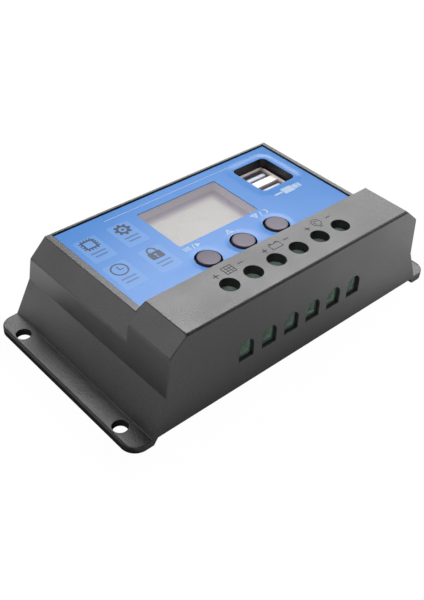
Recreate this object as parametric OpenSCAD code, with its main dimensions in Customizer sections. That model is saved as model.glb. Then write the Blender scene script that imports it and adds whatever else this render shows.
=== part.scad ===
// Solar charge controller: a moulded case with end flanges, a blue face label,
// a display, three push buttons, twin upright sockets and six screw terminals.
// Origin: middle of the mounting plane. X runs along the length, Y to the rear, Z up.

/* [Case] */
// Overall length over the mounting flanges
case_l = 133.5; // [126:0.5:150]
// Overall depth at the foot, front to rear
case_w = 70; // [68:0.5:80]
// Height of the face that carries the label
face_h = 29.3; // [28.5:0.1:32]
// Height of the terminal housing above the mounting plane
housing_h = 34.8; // [33.8:0.1:38]
// Thickness of the side and rear walls
wall = 2.2; // [1.8:0.1:2.6]
// Thickness of the front wall
front_t = 1.4; // [1.2:0.1:2]
// Thickness of the roof of the face and of the housing
roof_t = 2.4; // [2:0.1:2.8]
// Length of each end that flares out, from waist to foot
flare_run = 5.2; // [4:0.1:7]
// Height of the waist where the flare ends
waist_h = 15; // [13:0.5:17]
// Length of the slanted top edge at each end of the housing
chamfer_run = 6.2; // [4:0.1:7]
// Drop of the slanted top edge at each end of the housing
chamfer_drop = 5.5; // [4:0.1:6.5]
// Length of the slanted top edge at each end behind the housing
brow_run = 5.5; // [4:0.1:6.5]
// Drop of the slanted top edge at each end behind the housing
brow_drop = 6.4; // [5:0.1:7]
// Inward lean of the end walls behind the housing
end_lean = 0.7; // [0.6:0.1:1]
// Inward lean of the housing's end walls
housing_lean = 1; // [0.6:0.1:1.1]
// Depth of the housing's top, from the foot of the front wall
housing_d = 18.9; // [18:0.1:21]
// Slope of the housing's rear wall, measured along the depth
housing_slope = 3.3; // [2:0.1:4]
// Inward lean of the front wall
front_lean = 1; // [0.4:0.1:1.6]
// Inward lean of the rear wall
rear_lean = 2.2; // [1:0.1:3]
// Radius along the foot of each slanted top edge
brow_r = 1.5; // [0.5:0.1:2.5]
// Radius along the crown of each slanted top edge
crown_r = 0.6; // [0.3:0.1:1.2]
// Bevel between the housing's top and its front wall
front_bevel = 0.6; // [0.3:0.1:1]

/* [Flanges] */
// Width of each mounting flange beyond the flare
flange_w = 7.35; // [6.5:0.05:9]
// Thickness of the flanges
flange_t = 2.5; // [2.2:0.1:3.5]
// Radius of the flanges' outer corners
flange_r = 5; // [3:0.5:7]
// Distance of the mounting holes from the flanges' outer edges
hole_inset = 3.5; // [3:0.1:4.5]
// Spacing of the mounting holes across the depth
hole_pitch_y = 50; // [44:0.5:54]
// Diameter of the mounting holes
hole_d = 4.8; // [4:0.1:5.2]
// Height of the skirt's lower edge above the mounting plane
skirt_lift = 2; // [1.8:0.1:2.2]

/* [Face label] */
// Depth of the recess that holds the label
recess_d = 0.8; // [0.5:0.1:1]
// Thickness of the label film
label_t = 0.3; // [0.2:0.05:0.5]
// Width of the rim beside the label
rim_w = 2.3; // [1.8:0.1:4]
// Width of the rim behind the label
rim_rear = 1.3; // [1:0.1:3]

/* [Display] */
// Width of the display window
window_l = 34; // [30:0.5:36]
// Depth of the display window
window_w = 22; // [20:0.5:23]
// Sideways place of the display's middle
display_x = -1; // [-2:0.5:1]
// Forward shift of the display from the middle of the space behind the buttons
display_shift = 0.6; // [0:0.1:1.2]
// Thickness of the clear pane
pane_t = 1; // [0.8:0.1:1.2]
// Thickness of the skirt under the pane
lens_skirt = 0.6; // [0.4:0.1:0.8]
// Depth of the display glass below the face
glass_drop = 4.3; // [4:0.1:5.5]
// Thickness of the display glass
glass_t = 2.4; // [1.8:0.1:2.8]
// Thickness of the back light
light_t = 3; // [2.5:0.1:4]
// Number of display pins
display_pins = 12; // [8:1:16]

/* [Buttons] */
// Spacing of the buttons
button_pitch = 14.8; // [13:0.1:16]
// Distance from the housing's foot to the button holes
button_margin = 1.5; // [1:0.1:2]
// Diameter of the button caps
button_d = 7.6; // [6.5:0.1:8.2]
// Gap round each cap
button_gap = 0.7; // [0.3:0.05:0.9]
// Height of the caps above the label
button_proud = 0.5; // [0.4:0.1:1.5]
// Travel of the buttons
button_travel = 0.4; // [0.25:0.05:0.5]
// Width of the push switches
switch_w = 6; // [5:0.1:7]
// Height of the push switch bodies
switch_h = 3.5; // [3:0.1:4.5]

/* [Sockets] */
// Sideways place of the socket well
socket_x = 33.1; // [32.6:0.1:33.6]
// Distance from the label's rear edge to the socket well
socket_margin = 5.5; // [5.1:0.1:5.9]
// Width of the well's mouth
well_l = 15.7; // [15:0.1:16.4]
// Depth of the well's mouth, front to rear
well_w = 16.4; // [16.2:0.1:17]
// Width of the twin shell
shell_l = 13.1; // [12.5:0.1:13.8]
// Depth of the twin shell, front to rear
shell_w = 15.6; // [15:0.1:15.8]
// Thickness of the shell's sheet
shell_t = 0.4; // [0.3:0.05:0.5]
// Depth of the shell's mouth below the face
shell_drop = 4.1; // [3.5:0.1:6]
// Thickness of the divider between the two sockets
divider_t = 3.2; // [2.6:0.1:4]
// Thickness of the tongues
tongue_t = 1.8; // [1.5:0.1:2.1]
// Width of the tongues
tongue_l = 10; // [9:0.1:11]

/* [Terminals] */
// Spacing of the terminals
pole_pitch = 9.5; // [9.3:0.05:9.8]
// Distance from the foot of the front wall to the clamp screws
pole_inset = 9.6; // [9.4:0.05:9.8]
// Diameter of the screwdriver holes
driver_d = 6; // [5.8:0.1:6.4]
// Width of the wire entries in the case
entry_w = 5.8; // [5.4:0.1:6.2]
// Height of the wire entries' sill above the mounting plane
entry_z = 12.6; // [12.4:0.05:12.8]
// Height of the wire entries
entry_h = 7.2; // [6.8:0.1:7.8]
// Diameter of the clamp screws' heads
screw_head_d = 5.6; // [5:0.1:5.8]
// Diameter of the clamp screws' shanks
screw_d = 3.8; // [3.4:0.1:4]
// Rise of each cage from open to closed
cage_travel = 3.6; // [3:0.1:3.8]
// Thickness of the contact bars
bar_t = 1.1; // [0.9:0.1:1.3]

/* [Board and plate] */
// Height of the board's underside above the mounting plane
board_z = 8.4; // [8.3:0.05:8.6]
// Thickness of the board
board_t = 1.6; // [1.4:0.1:1.7]
// Thickness of the back plate
plate_t = 1.5; // [1:0.1:1.7]
// Thickness of the heat pad
pad_t = 0.5; // [0.3:0.05:0.6]
// Diameter of the corner posts
post_d = 6.5; // [5.5:0.1:7]
// Diameter of the board's bosses
boss_d = 5.5; // [5:0.1:6]
// Diameter of the screws that hold the plate and the board
fixing_d = 2.4; // [2:0.1:2.6]

/* [Fits] */
// Clearance round pieces that are laid in
fit_gap = 0.3; // [0.2:0.05:0.4]
// Clearance round pieces that slide or turn
run_gap = 0.2; // [0.12:0.02:0.25]
// Clearance between faces that nearly touch
face_gap = 0.1; // [0.05:0.01:0.15]

/* [Hidden] */
$fn = 48;

// Ends of the case, from the flange inwards
half_l = case_l / 2;
half_w = case_w / 2;
foot_x = half_l - flange_w;
waist_x = foot_x - flare_run;
brow_x = waist_x - end_lean;
face_x = brow_x - brow_run;
brow_z = face_h - brow_drop;
shoulder_x = waist_x - housing_lean;
crest_x = shoulder_x - chamfer_run;
shoulder_z = housing_h - chamfer_drop;
skirt_in = 2.1;
step_in = 0.75;
skirt_x = foot_x - skirt_in;
step_x = foot_x - step_in;

// Front, rear and housing planes
front_top_y = -half_w + front_lean;
rear_top_y = half_w - rear_lean;
crest_y = -half_w + housing_d;
join_y = crest_y + housing_slope;

// Inner skin
face_in = face_h - roof_t;
housing_in = housing_h - roof_t;
foot_wall = 3;

// Label and what passes through it
recess_z = face_h - recess_d;
label_z = recess_z + label_t;
label_half_l = face_x - rim_w;
label_rear = rear_top_y - rim_rear;
button_hole_d = button_d + 2 * button_gap;
button_y = join_y + button_margin + button_hole_d / 2;
display_y = (button_y + button_hole_d / 2 + label_rear) / 2 - display_shift;
socket_y = label_rear - socket_margin - well_w / 2;
well_r = 2;

// Terminals
poles = 6;
pole_y = -half_w + pole_inset;
board_top = board_z + board_t;
block_drop = 0.8;
guide_t = 1.2;
block_top = housing_in - block_drop;
block_front = -half_w + front_t + front_lean + fit_gap;
block_rear = crest_y - wall - fit_gap;
cage_l = 7.4;
cage_w = 7;
cage_side = 1;
cage_floor = 1.2;
cage_roof = 2.4;
cage_open_h = 6.1;
cage_r = 0.8;
sill_z = entry_z + fit_gap;
cage_z = sill_z - cage_floor;
cage_top = sill_z + cage_open_h + cage_roof;
bar_drop = 0.4;
bar_top = sill_z + cage_open_h - bar_drop;
bar_w = 4.6;
leg_w = 3.2;
leg_set = 1.1;
leg_y = pole_y + cage_w / 2 + leg_set;
leg_out = 1;
cage_spare = 0.4;
collar_z = cage_top + cage_travel + cage_spare;
collar_t = 1.6;
seat_z = collar_z + collar_t;
screw_head_h = 2.2;
slot_t = 1;
slot_d = 1.2;
screw_tip = bar_top + face_gap;
mouth_w = cage_l - 2 * cage_side - run_gap;
mouth_h = bar_top - sill_z + bar_drop;
funnel_d = 2.4;
funnel_out = 0.6;

// Board and plate
plate_z = skirt_lift;
plate_top = plate_z + plate_t;
plate_r = 2;
post_in_x = 0.35;
post_in_y = 2.55;
post_x = face_x - post_d / 2 - post_in_x;
post_y = half_w - wall - post_d / 2 - post_in_y;
boss_gap = 1;
boss_sink = 0.35;
front_boss_gap = 2.75;
front_boss_set = 5.4;
rear_boss_y = rear_top_y - wall - boss_d / 2 + boss_sink;
front_boss_x = (poles * pole_pitch + boss_d) / 2 + front_boss_gap;
front_boss_y = pole_y + front_boss_set;
board_gap = 0.8;
board_half_l = waist_x - wall - board_gap;
head_h = 1.6;
head_d = 2 * fixing_d;
plate_grip = 9;
board_grip = 7;
pilot_spare = 2.5;

// Pieces on the board
transistor_l = 10;
transistor_w = 15;
transistor_pitch = 17;
transistor_y = 2;
transistor_body = 9;
tab_t = 1.3;
tab_hole_d = 3.6;
tab_hole_in = 3;
pin_pitch = 2.54;
pin_w = 0.9;
pin_t = 0.6;
pin_lift = 1.5;
can_d = 10;
can_h = 14;
can_pitch = 13;
small_can_d = 8;
small_can_h = 11.5;
can_edge = 0.4;
can_neck = 2;
can_x = -34;
can_y = display_y - can_pitch + 1;
coil_d = 9;
coil_h = 6;
coil_rim = 1.2;
coil_groove = 0.7;
coil_x = 27;
coil_y = 1;
small_can_x = coil_x + coil_d / 2 + small_can_d / 2 + 1.5;
chip_l = 9;
chip_t = 1.4;
chip_set_x = 3;
chip_set_y = -2;
reg_l = 5;
reg_w = 4;
reg_t = 1.5;
reg_x = 40;
reg_y = button_y - 2.2;

// Display stack
glass_top = face_h - glass_drop;
glass_z = glass_top - glass_t;
light_z = glass_z - light_t;
glass_lap = 2;
light_lap_x = 1.5;
light_lap_y = 0.5;
glass_l = window_l + 2 * glass_lap;
glass_w = window_w + 2 * glass_lap;
light_l = window_l + 2 * light_lap_x;
light_w = window_w + 2 * light_lap_y;
light_r = 1;
rear_boss_x = glass_l / 2 + boss_d / 2 + boss_gap;
rib_t = 1.2;
lens_side = lens_skirt + fit_gap / 2;
lens_rim = lens_side + rib_t;
bracket_t = 2;
bracket_leg = 3;
bracket_r = 0.8;
pin_d = 0.7;
pin_edge = 0.9;
pin_side = 3;

// Buttons
cap_top = label_z + button_proud;
cap_edge = 0.5;
collar_lap = 0.5;
button_collar_d = button_hole_d + 2 * collar_lap;
button_collar_t = 1.3;
button_collar_top = face_in - run_gap;
stem_d = 5;
stem_h = 2;
stem_z = button_collar_top - button_collar_t - stem_h;
switch_r = 0.5;
plunger_d = 3.4;
plunger_in = 0.9;
plunger_z = board_top + switch_h - plunger_in;

// Sockets
shell_top = face_h - shell_drop;
shell_z = board_top + run_gap;
shell_r = 0.6;
mouth_l = shell_l - 2 * shell_t;
mouth_d = (shell_w - 2 * shell_t - divider_t) / 2;
mouth_y = (divider_t + mouth_d) / 2;
core_t = 4;
tongue_y = 4;
tongue_drop = 0.4;
tongue_r = 0.7;
strip_l = 1;
strip_t = 0.2;
strip_pitch = 2.2;
strip_drop = 2.5;
well_rib = 4;

function unit(v) = v / norm(v);
function turned(v, a) = [v.x * cos(a) - v.y * sin(a), v.x * sin(a) + v.y * cos(a)];
function xy(p) = [p.x, p.y];

// Points of an arc of radius r that rounds the corner b between a and c
function corner(a, b, c, r, n = 4) =
    let (u = unit(a - b), w = unit(c - b), half = acos(u * w) / 2,
         mid = b + unit(u + w) * r / sin(half),
         s = b + u * r / tan(half) - mid,
         turn = (180 - 2 * half) * sign(cross(s, b + w * r / tan(half) - mid)))
    [for (i = [0 : n]) mid + turned(s, turn * i / n)];

// Outline with each corner rounded by its third value
function rounded(p) =
    let (n = len(p))
    [for (i = [0 : n - 1])
        each p[i][2] > 0
            ? corner(xy(p[(i + n - 1) % n]), xy(p[i]), xy(p[(i + 1) % n]), p[i][2])
            : [xy(p[i])]];

// Outline made whole by its mirror image across the middle
function both_ends(half) =
    concat(half, [for (i = [len(half) - 1 : -1 : 0]) [-half[i].x, half[i].y, half[i][2]]]);

// Inner face of the flared ends at height z
function flare_in(z) =
    waist_x - wall + (flare_run - foot_wall + wall) * (waist_h - z) / (waist_h - flange_t);

// Place of pole i, counted from 0 at the left
function pole_x(i) = (i - (poles - 1) / 2) * pole_pitch;

module along_x(length) {
    rotate([90, 0, 90]) linear_extrude(length, center = true) children();
}

module along_y(length) {
    rotate([90, 0, 0]) linear_extrude(length, center = true) children();
}

// Rectangle with round corners, centred
module round_rect(l, w, r) {
    square([l - 2 * r, w], center = true);
    square([l, w - 2 * r], center = true);
    for (sx = [-1, 1], sy = [-1, 1])
        translate([sx * (l / 2 - r), sy * (w / 2 - r)]) circle(r);
}

// Wire entry: straight sides under a round arch, standing on its sill
module arch(w, h) {
    translate([-w / 2, 0]) square([w, h - w / 2]);
    translate([0, h - w / 2]) circle(w / 2);
}

module block_at(l, w, h, r = 0) {
    linear_extrude(h) if (r > 0) round_rect(l, w, r); else square([l, w], center = true);
}

module at_corners(x, y) {
    for (sx = [-1, 1], sy = [-1, 1]) translate([sx * x, sy * y]) children();
}

module at_buttons() {
    for (i = [-1 : 1]) translate([i * button_pitch, button_y]) children();
}

module at_poles() {
    for (i = [0 : poles - 1]) translate([pole_x(i), pole_y]) children();
}

module at_bosses() {
    for (s = [-1, 1]) {
        translate([display_x + s * rear_boss_x, rear_boss_y]) children();
        translate([s * front_boss_x, front_boss_y]) children();
    }
}

// Case: flared base, body behind the housing and flanges, in one profile
module base_solid() {
    ends = rounded(both_ends([
        [skirt_x, skirt_lift, 0], [step_x, 0, 0], [half_l, 0, 0], [half_l, flange_t, 0.5],
        [foot_x, flange_t, 0.3], [waist_x, waist_h, 0], [brow_x, brow_z, brow_r],
        [face_x, face_h, crown_r]]));
    waist_y = -half_w + front_lean * waist_h / housing_h;
    side = [[-half_w, 0], [half_w, 0], [half_w, flange_t], [rear_top_y, face_h],
        [crest_y, face_h], [crest_y, waist_h], [waist_y, waist_h]];
    intersection() {
        along_y(case_w + 2) polygon(ends);
        along_x(case_l + 2) polygon(side);
        linear_extrude(face_h + 1) round_rect(case_l, case_w, flange_r);
    }
}

// Case: raised terminal housing, standing on the waist
module housing_solid() {
    root_z = waist_h - 4;
    ends = rounded(both_ends([
        [waist_x, root_z, 0], [waist_x, waist_h, 0],
        [shoulder_x, shoulder_z, brow_r], [crest_x, housing_h, crown_r]]));
    root_y = -half_w + front_lean * root_z / housing_h;
    bevel_y = front_top_y - front_lean * front_bevel / housing_h;
    side = [[root_y, root_z], [bevel_y, housing_h - front_bevel],
        [front_top_y + front_bevel, housing_h], [crest_y, housing_h], [crest_y, root_z]];
    intersection() {
        along_y(case_w + 2) polygon(ends);
        along_x(case_l + 2) polygon(side);
    }
}

// Case: slope from the housing's top down to the face, between the end bevels
module slope_solid() {
    lap = 1;
    ends = [[-face_x, face_h - lap], [face_x, face_h - lap], [face_x, face_h],
        [crest_x, housing_h], [-crest_x, housing_h], [-face_x, face_h]];
    side = [[crest_y - lap, face_h - lap], [join_y, face_h - lap], [join_y, face_h],
        [crest_y, housing_h], [crest_y - lap, housing_h - lap]];
    intersection() {
        along_y(case_w + 2) polygon(ends);
        along_x(case_l + 2) polygon(side);
    }
}

// Hollow under the face
module face_hollow() {
    ends = both_ends([
        [flare_in(-waist_h), -waist_h, 0],
        [waist_x - wall, waist_h, 0], [brow_x - wall, brow_z - 0.4 * wall, 0],
        [face_x - 0.4 * wall, face_in, 0]]);
    front = crest_y - wall - 0.5;
    side = [[front, -waist_h], [half_w - wall, -waist_h],
        [half_w - wall, flange_t], [rear_top_y - wall, face_in], [front, face_in]];
    intersection() {
        along_y(case_w + 2) polygon([for (p = ends) xy(p)]);
        along_x(case_l + 2) polygon(side);
    }
}

// Hollow of the housing, open to the hollow under the face
module housing_hollow() {
    ends = both_ends([
        [flare_in(-waist_h), -waist_h, 0],
        [waist_x - wall, waist_h, 0], [shoulder_x - wall, shoulder_z - 0.4 * wall, 0],
        [crest_x - 0.4 * wall, housing_in, 0]]);
    side = [[-half_w + front_t, -waist_h], [-half_w + front_t, flange_t],
        [front_top_y + front_t, housing_in], [crest_y - wall, housing_in],
        [crest_y - wall, -waist_h]];
    intersection() {
        along_y(case_w + 2) polygon([for (p = ends) xy(p)]);
        along_x(case_l + 2) polygon(side);
    }
}

// Hollow under the slope
module slope_hollow() {
    lap = 0.5;
    front = crest_y - wall - lap;
    rear = join_y - wall;
    along_x(2 * (crest_x - 2 * wall)) polygon([[front, face_in - lap], [rear, face_in - lap],
        [rear, face_in], [crest_y - wall, housing_in], [front, housing_in]]);
}

// Posts for the plate, bosses for the board, guides under the driver holes, ribs round window and well
module case_inner_forms() {
    root = 0.5;
    for (sx = [-1, 1]) {
        translate([sx * post_x, post_y, plate_top])
            cylinder(d = post_d, h = face_in + root - plate_top);
        translate([sx * post_x, -post_y, plate_top])
            cylinder(d = post_d, h = housing_in + root - plate_top);
        translate([display_x + sx * rear_boss_x, rear_boss_y, board_top])
            cylinder(d = boss_d, h = face_in + root - board_top);
        translate([sx * front_boss_x, front_boss_y, board_top])
            cylinder(d = boss_d, h = housing_in + root - board_top);
    }
    at_poles() translate([0, 0, block_top + face_gap])
        cylinder(d = driver_d + 2 * guide_t, h = housing_in + root - block_top - face_gap);
    translate([display_x, display_y, glass_top + face_gap])
        block_at(window_l + 2 * lens_rim, window_w + 2 * lens_rim, face_in + root - glass_top - face_gap);
    translate([socket_x, socket_y, shell_top - well_rib])
        block_at(well_l + 2 * rib_t, well_w + 2 * rib_t, face_in + root - shell_top + well_rib, well_r);
}

module top_case() color([0.16, 0.16, 0.17]) {
    pilot_d = fixing_d + face_gap;
    plate_pilot = plate_grip + pilot_spare;
    board_pilot = board_grip + pilot_spare;
    difference() {
        union() {
            difference() {
                union() {
                    base_solid();
                    housing_solid();
                    slope_solid();
                }
                face_hollow();
                housing_hollow();
                slope_hollow();
            }
            case_inner_forms();
        }
        translate([0, (label_rear + join_y) / 2, recess_z])
            block_at(2 * label_half_l, label_rear - join_y, recess_d + 1);
        translate([display_x, display_y, glass_top - 1])
            block_at(window_l + 2 * lens_side, window_w + 2 * lens_side, recess_z - glass_top + 2);
        translate([display_x, display_y, recess_z - pane_t])
            block_at(window_l + 2 * lens_rim, window_w + 2 * lens_rim, pane_t + 1);
        translate([socket_x, socket_y, shell_top - well_rib - 1])
            block_at(well_l, well_w, shell_drop + well_rib + 2, well_r);
        at_buttons() translate([0, 0, face_in - 1]) cylinder(d = button_hole_d, h = roof_t + 2);
        at_poles() translate([0, 0, housing_in - 1]) cylinder(d = driver_d, h = roof_t + 2);
        for (i = [0 : poles - 1])
            translate([pole_x(i), -half_w + (front_t + front_lean) / 2, entry_z])
                along_y(front_t + front_lean + 2) arch(entry_w, entry_h);
        at_corners(half_l - hole_inset, hole_pitch_y / 2)
            translate([0, 0, -1]) cylinder(d = hole_d, h = flange_t + 2);
        at_corners(post_x, post_y)
            translate([0, 0, plate_top - 1]) cylinder(d = pilot_d, h = plate_pilot + 1);
        at_bosses() translate([0, 0, board_top - 1]) cylinder(d = pilot_d, h = board_pilot + 1);
    }
}

module face_label() color([0.36, 0.58, 0.9]) {
    front = join_y + fit_gap;
    window_r = 0.6;
    difference() {
        translate([0, (label_rear - fit_gap + front) / 2, recess_z])
            block_at(2 * (label_half_l - fit_gap), label_rear - fit_gap - front, label_t);
        translate([display_x, display_y, recess_z - 1])
            block_at(window_l, window_w, label_t + 2, window_r);
        translate([socket_x, socket_y, recess_z - 1]) block_at(well_l, well_w, label_t + 2, well_r);
        at_buttons() translate([0, 0, recess_z - 1]) cylinder(d = button_hole_d, h = label_t + 2);
    }
}

// Clear pane with a skirt that reaches down to the display glass
module display_window() color([0.85, 0.9, 0.92, 0.4]) {
    inset = lens_rim - fit_gap / 2;
    lens_drop = recess_z - pane_t - glass_top - face_gap;
    translate([display_x, display_y, glass_top + face_gap]) difference() {
        union() {
            translate([0, 0, lens_drop]) block_at(window_l + 2 * inset, window_w + 2 * inset, pane_t);
            block_at(window_l + 2 * lens_skirt, window_w + 2 * lens_skirt, lens_drop + pane_t / 2);
        }
        translate([0, 0, -1]) block_at(window_l, window_w, lens_drop + 1);
    }
}

module back_plate() color([0.7, 0.71, 0.73]) {
    half = flare_in(plate_top) - fit_gap;
    taper = rear_lean * (plate_top - flange_t) / (face_h - flange_t);
    depth = case_w - 2 * (wall + taper + fit_gap);
    difference() {
        translate([0, 0, plate_z]) block_at(2 * half, depth, plate_t, plate_r);
        at_corners(post_x, post_y) translate([0, 0, plate_z - 1])
            cylinder(d = fixing_d + 2 * run_gap, h = plate_t + 2);
    }
}

// Pan-headed screw that points up, with the underside of its head at z = 0
module fixing(length) {
    translate([0, 0, -head_h]) cylinder(d = head_d, h = head_h);
    cylinder(d = fixing_d, h = length);
}

module plate_screws() color([0.75, 0.75, 0.77])
    at_corners(post_x, post_y) translate([0, 0, plate_z]) fixing(plate_t + plate_grip);

module board_screws() color([0.75, 0.75, 0.77])
    at_bosses() translate([0, 0, board_z]) fixing(board_t + board_grip);

module main_board() color([0.1, 0.35, 0.2]) {
    notch = post_d / 2 + fit_gap + face_gap;
    notch_x = post_x - notch;
    notch_y = post_y - notch;
    front = -half_w + wall + fit_gap + front_lean * board_top / housing_h;
    rear = half_w - wall - fit_gap - rear_lean * board_top / face_h;
    difference() {
        translate([0, (front + rear) / 2, board_z]) block_at(2 * board_half_l, rear - front, board_t);
        for (sx = [-1, 1], sy = [-1, 1])
            translate([sx * (notch_x + board_half_l) / 2, sy * (notch_y + half_w) / 2, board_z - 1])
                block_at(board_half_l - notch_x + 0.02, half_w - notch_y, board_t + 2);
        at_bosses() translate([0, 0, board_z - 1])
            cylinder(d = fixing_d + 2 * run_gap, h = board_t + 2);
        for (i = [0 : poles - 1])
            translate([pole_x(i), leg_y, board_z - 1])
                block_at(leg_w + 2 * face_gap, bar_t + 2 * face_gap, board_t + 2);
        display_pin_places()
            translate([0, 0, board_z - 1]) cylinder(d = pin_d + fit_gap, h = board_t + 2);
    }
}

// Terminal block of two poles, first pole numbered from 0
module terminal_block(first) color([0.25, 0.55, 0.32]) {
    mid = (pole_x(first) + pole_x(first + 1)) / 2;
    depth = block_rear - block_front;
    cell_l = cage_l + 2 * run_gap;
    cell_w = cage_w + 2 * run_gap;
    cell_z = cage_z - run_gap;
    front_wall = pole_y - cell_w / 2 - block_front;
    slot_w = bar_w + 2 * run_gap;
    slot_rear = leg_y + bar_t / 2 + run_gap;
    difference() {
        translate([mid, (block_front + block_rear) / 2, board_top])
            block_at(2 * pole_pitch - face_gap, depth, block_top - board_top);
        for (i = [first, first + 1]) translate([pole_x(i), 0, 0]) {
            translate([0, pole_y, cell_z]) block_at(cell_l, cell_w, collar_z - cell_z);
            translate([0, block_front + front_wall / 2, sill_z])
                along_y(front_wall + 1) arch(mouth_w, mouth_h);
            hull() {
                translate([0, block_front - 0.01, sill_z - funnel_out * 2 / 3])
                    along_y(0.02, $fn = 32) arch(mouth_w + 2 * funnel_out, mouth_h + funnel_out * 5 / 3);
                translate([0, block_front + funnel_d, sill_z])
                    along_y(0.02, $fn = 32) arch(mouth_w, mouth_h);
            }
            translate([0, pole_y, collar_z - 1])
                cylinder(d = screw_d + 2 * run_gap, h = collar_t + 2);
            translate([0, pole_y, seat_z])
                cylinder(d = screw_head_d + 4 * run_gap, h = block_top - seat_z + 1);
            translate([0, (pole_y + slot_rear) / 2, board_top - 1])
                block_at(slot_w, slot_rear - pole_y, bar_top + run_gap - board_top + 1);
        }
    }
}

module solar_terminal_block() terminal_block(0);
module battery_terminal_block() terminal_block(2);
module load_terminal_block() terminal_block(4);

// Clamp screw: turns in place, its slotted head on the block's collar
module terminal_screw(i) color([0.78, 0.78, 0.8]) {
    head_z = seat_z + face_gap;
    translate([pole_x(i), pole_y, 0]) difference() {
        union() {
            translate([0, 0, head_z]) cylinder(d = screw_head_d, h = screw_head_h);
            translate([0, 0, screw_tip]) cylinder(d = screw_d, h = head_z - screw_tip + 0.5);
        }
        translate([0, 0, head_z + screw_head_h - slot_d]) block_at(screw_head_d + 1, slot_t, slot_d + 1);
    }
}

// Cage: lifted by its screw, it clamps the wire against the contact bar
module terminal_cage(i) color([0.82, 0.8, 0.72]) {
    translate([pole_x(i), pole_y, cage_z]) difference() {
        block_at(cage_l, cage_w, cage_top - cage_z, cage_r);
        translate([0, 0, cage_floor]) block_at(cage_l - 2 * cage_side, cage_w + 2, cage_open_h);
        translate([0, 0, cage_floor + cage_open_h - 1])
            cylinder(d = screw_d + 2 * face_gap, h = cage_roof + 2);
    }
}

module contact_bars() color([0.8, 0.68, 0.5]) {
    front = pole_y - cage_w / 2 - face_gap;
    rear = leg_y + bar_t / 2;
    for (i = [0 : poles - 1]) translate([pole_x(i), 0, 0]) {
        translate([0, (front + rear) / 2, bar_top - bar_t]) block_at(bar_w, rear - front, bar_t);
        translate([0, leg_y, board_z - leg_out])
            block_at(leg_w, bar_t, bar_top - bar_t / 2 - board_z + leg_out);
    }
}

module display_glass() color([0.8, 0.8, 0.79])
    translate([display_x, display_y, glass_z]) block_at(glass_l, glass_w, glass_t);

module display_light() color([0.93, 0.93, 0.9])
    translate([display_x, display_y, light_z]) block_at(light_l, light_w, light_t, light_r);

// Bracket: a frame on four legs that carries the back light above the board
module display_bracket() color([0.9, 0.9, 0.88])
    translate([display_x, display_y]) {
        leg = bracket_leg;
        frame_z = light_z - bracket_t;
        difference() {
            translate([0, 0, frame_z]) block_at(light_l, light_w, bracket_t, light_r);
            translate([0, 0, frame_z - 1])
                block_at(light_l - 2 * leg, light_w - 2 * leg, bracket_t + 2);
        }
        at_corners((light_l - leg) / 2, (light_w - leg) / 2)
            translate([0, 0, board_top])
                block_at(leg, leg, frame_z + bracket_t / 4 - board_top, bracket_r);
    }

module display_pin_places() {
    pitch = (glass_l - 2 * pin_side) / (display_pins - 1);
    for (i = [0 : display_pins - 1])
        translate([display_x + (i - (display_pins - 1) / 2) * pitch, display_y + glass_w / 2 - pin_edge])
            children();
}

module display_pins_row() color([0.8, 0.8, 0.82])
    display_pin_places()
        translate([0, 0, board_z - leg_out]) cylinder(d = pin_d, h = glass_z - board_z + leg_out);

// Socket shell: folded tin sheet with a divider between the two mouths
module socket_shell() color([0.85, 0.85, 0.86]) {
    height = shell_top - shell_z;
    translate([socket_x, socket_y, shell_z]) difference() {
        block_at(shell_l, shell_w, height, shell_r);
        for (s = [-1, 1])
            translate([0, s * mouth_y, -1]) block_at(mouth_l, mouth_d, height + 2);
    }
}

// Socket core: a foot in each mouth that carries the tongue
module socket_core() color([0.9, 0.9, 0.94]) {
    tongue_h = shell_top - board_top - tongue_drop;
    for (s = [-1, 1]) translate([socket_x, socket_y, board_top]) {
        translate([0, s * mouth_y, 0])
            block_at(mouth_l - 2 * face_gap, mouth_d - 2 * face_gap, core_t);
        translate([0, s * tongue_y, 0]) block_at(tongue_l, tongue_t, tongue_h, tongue_r);
    }
}

// Contacts: four strips on the front of each tongue
module socket_contacts() color([0.85, 0.7, 0.35]) {
    foot_z = board_top + core_t;
    for (s = [-1, 1], i = [-1.5 : 1 : 1.5]) {
        strip_y = socket_y + s * tongue_y - (tongue_t + strip_t) / 2;
        translate([socket_x + i * strip_pitch, strip_y, foot_z])
            block_at(strip_l, strip_t, shell_top - foot_z - strip_drop);
    }
}

// Button: crowned cap, retaining collar under the roof and a stem to its switch
module push_button(i) color([0.55, 0.52, 0.53]) {
    collar_foot = button_collar_top - button_collar_t;
    profile = rounded([
        [0, stem_z, 0], [stem_d / 2, stem_z, 0], [stem_d / 2, collar_foot, 0],
        [button_collar_d / 2, collar_foot, 0],
        [button_collar_d / 2, button_collar_top, 0], [button_d / 2, button_collar_top, 0],
        [button_d / 2, cap_top, cap_edge], [0, cap_top, 0]]);
    translate([i * button_pitch, button_y]) rotate_extrude() polygon(profile);
}

module button_menu() push_button(-1);
module button_up() push_button(0);
module button_down() push_button(1);

module plunger(i) color([0.1, 0.1, 0.1])
    translate([i * button_pitch, button_y, plunger_z]) cylinder(d = plunger_d, h = stem_z - plunger_z);

module plunger_menu() plunger(-1);
module plunger_up() plunger(0);
module plunger_down() plunger(1);

module switch_bodies() color([0.2, 0.2, 0.2])
    at_buttons() translate([0, 0, board_top]) difference() {
        block_at(switch_w, switch_w, switch_h, switch_r);
        translate([0, 0, switch_h - plunger_in - button_travel - fit_gap])
            cylinder(d = plunger_d + 2 * run_gap, h = switch_h);
    }

module at_transistors() {
    for (i = [-1.5 : 1 : 1.5]) translate([i * transistor_pitch, transistor_y]) children();
}

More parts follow.
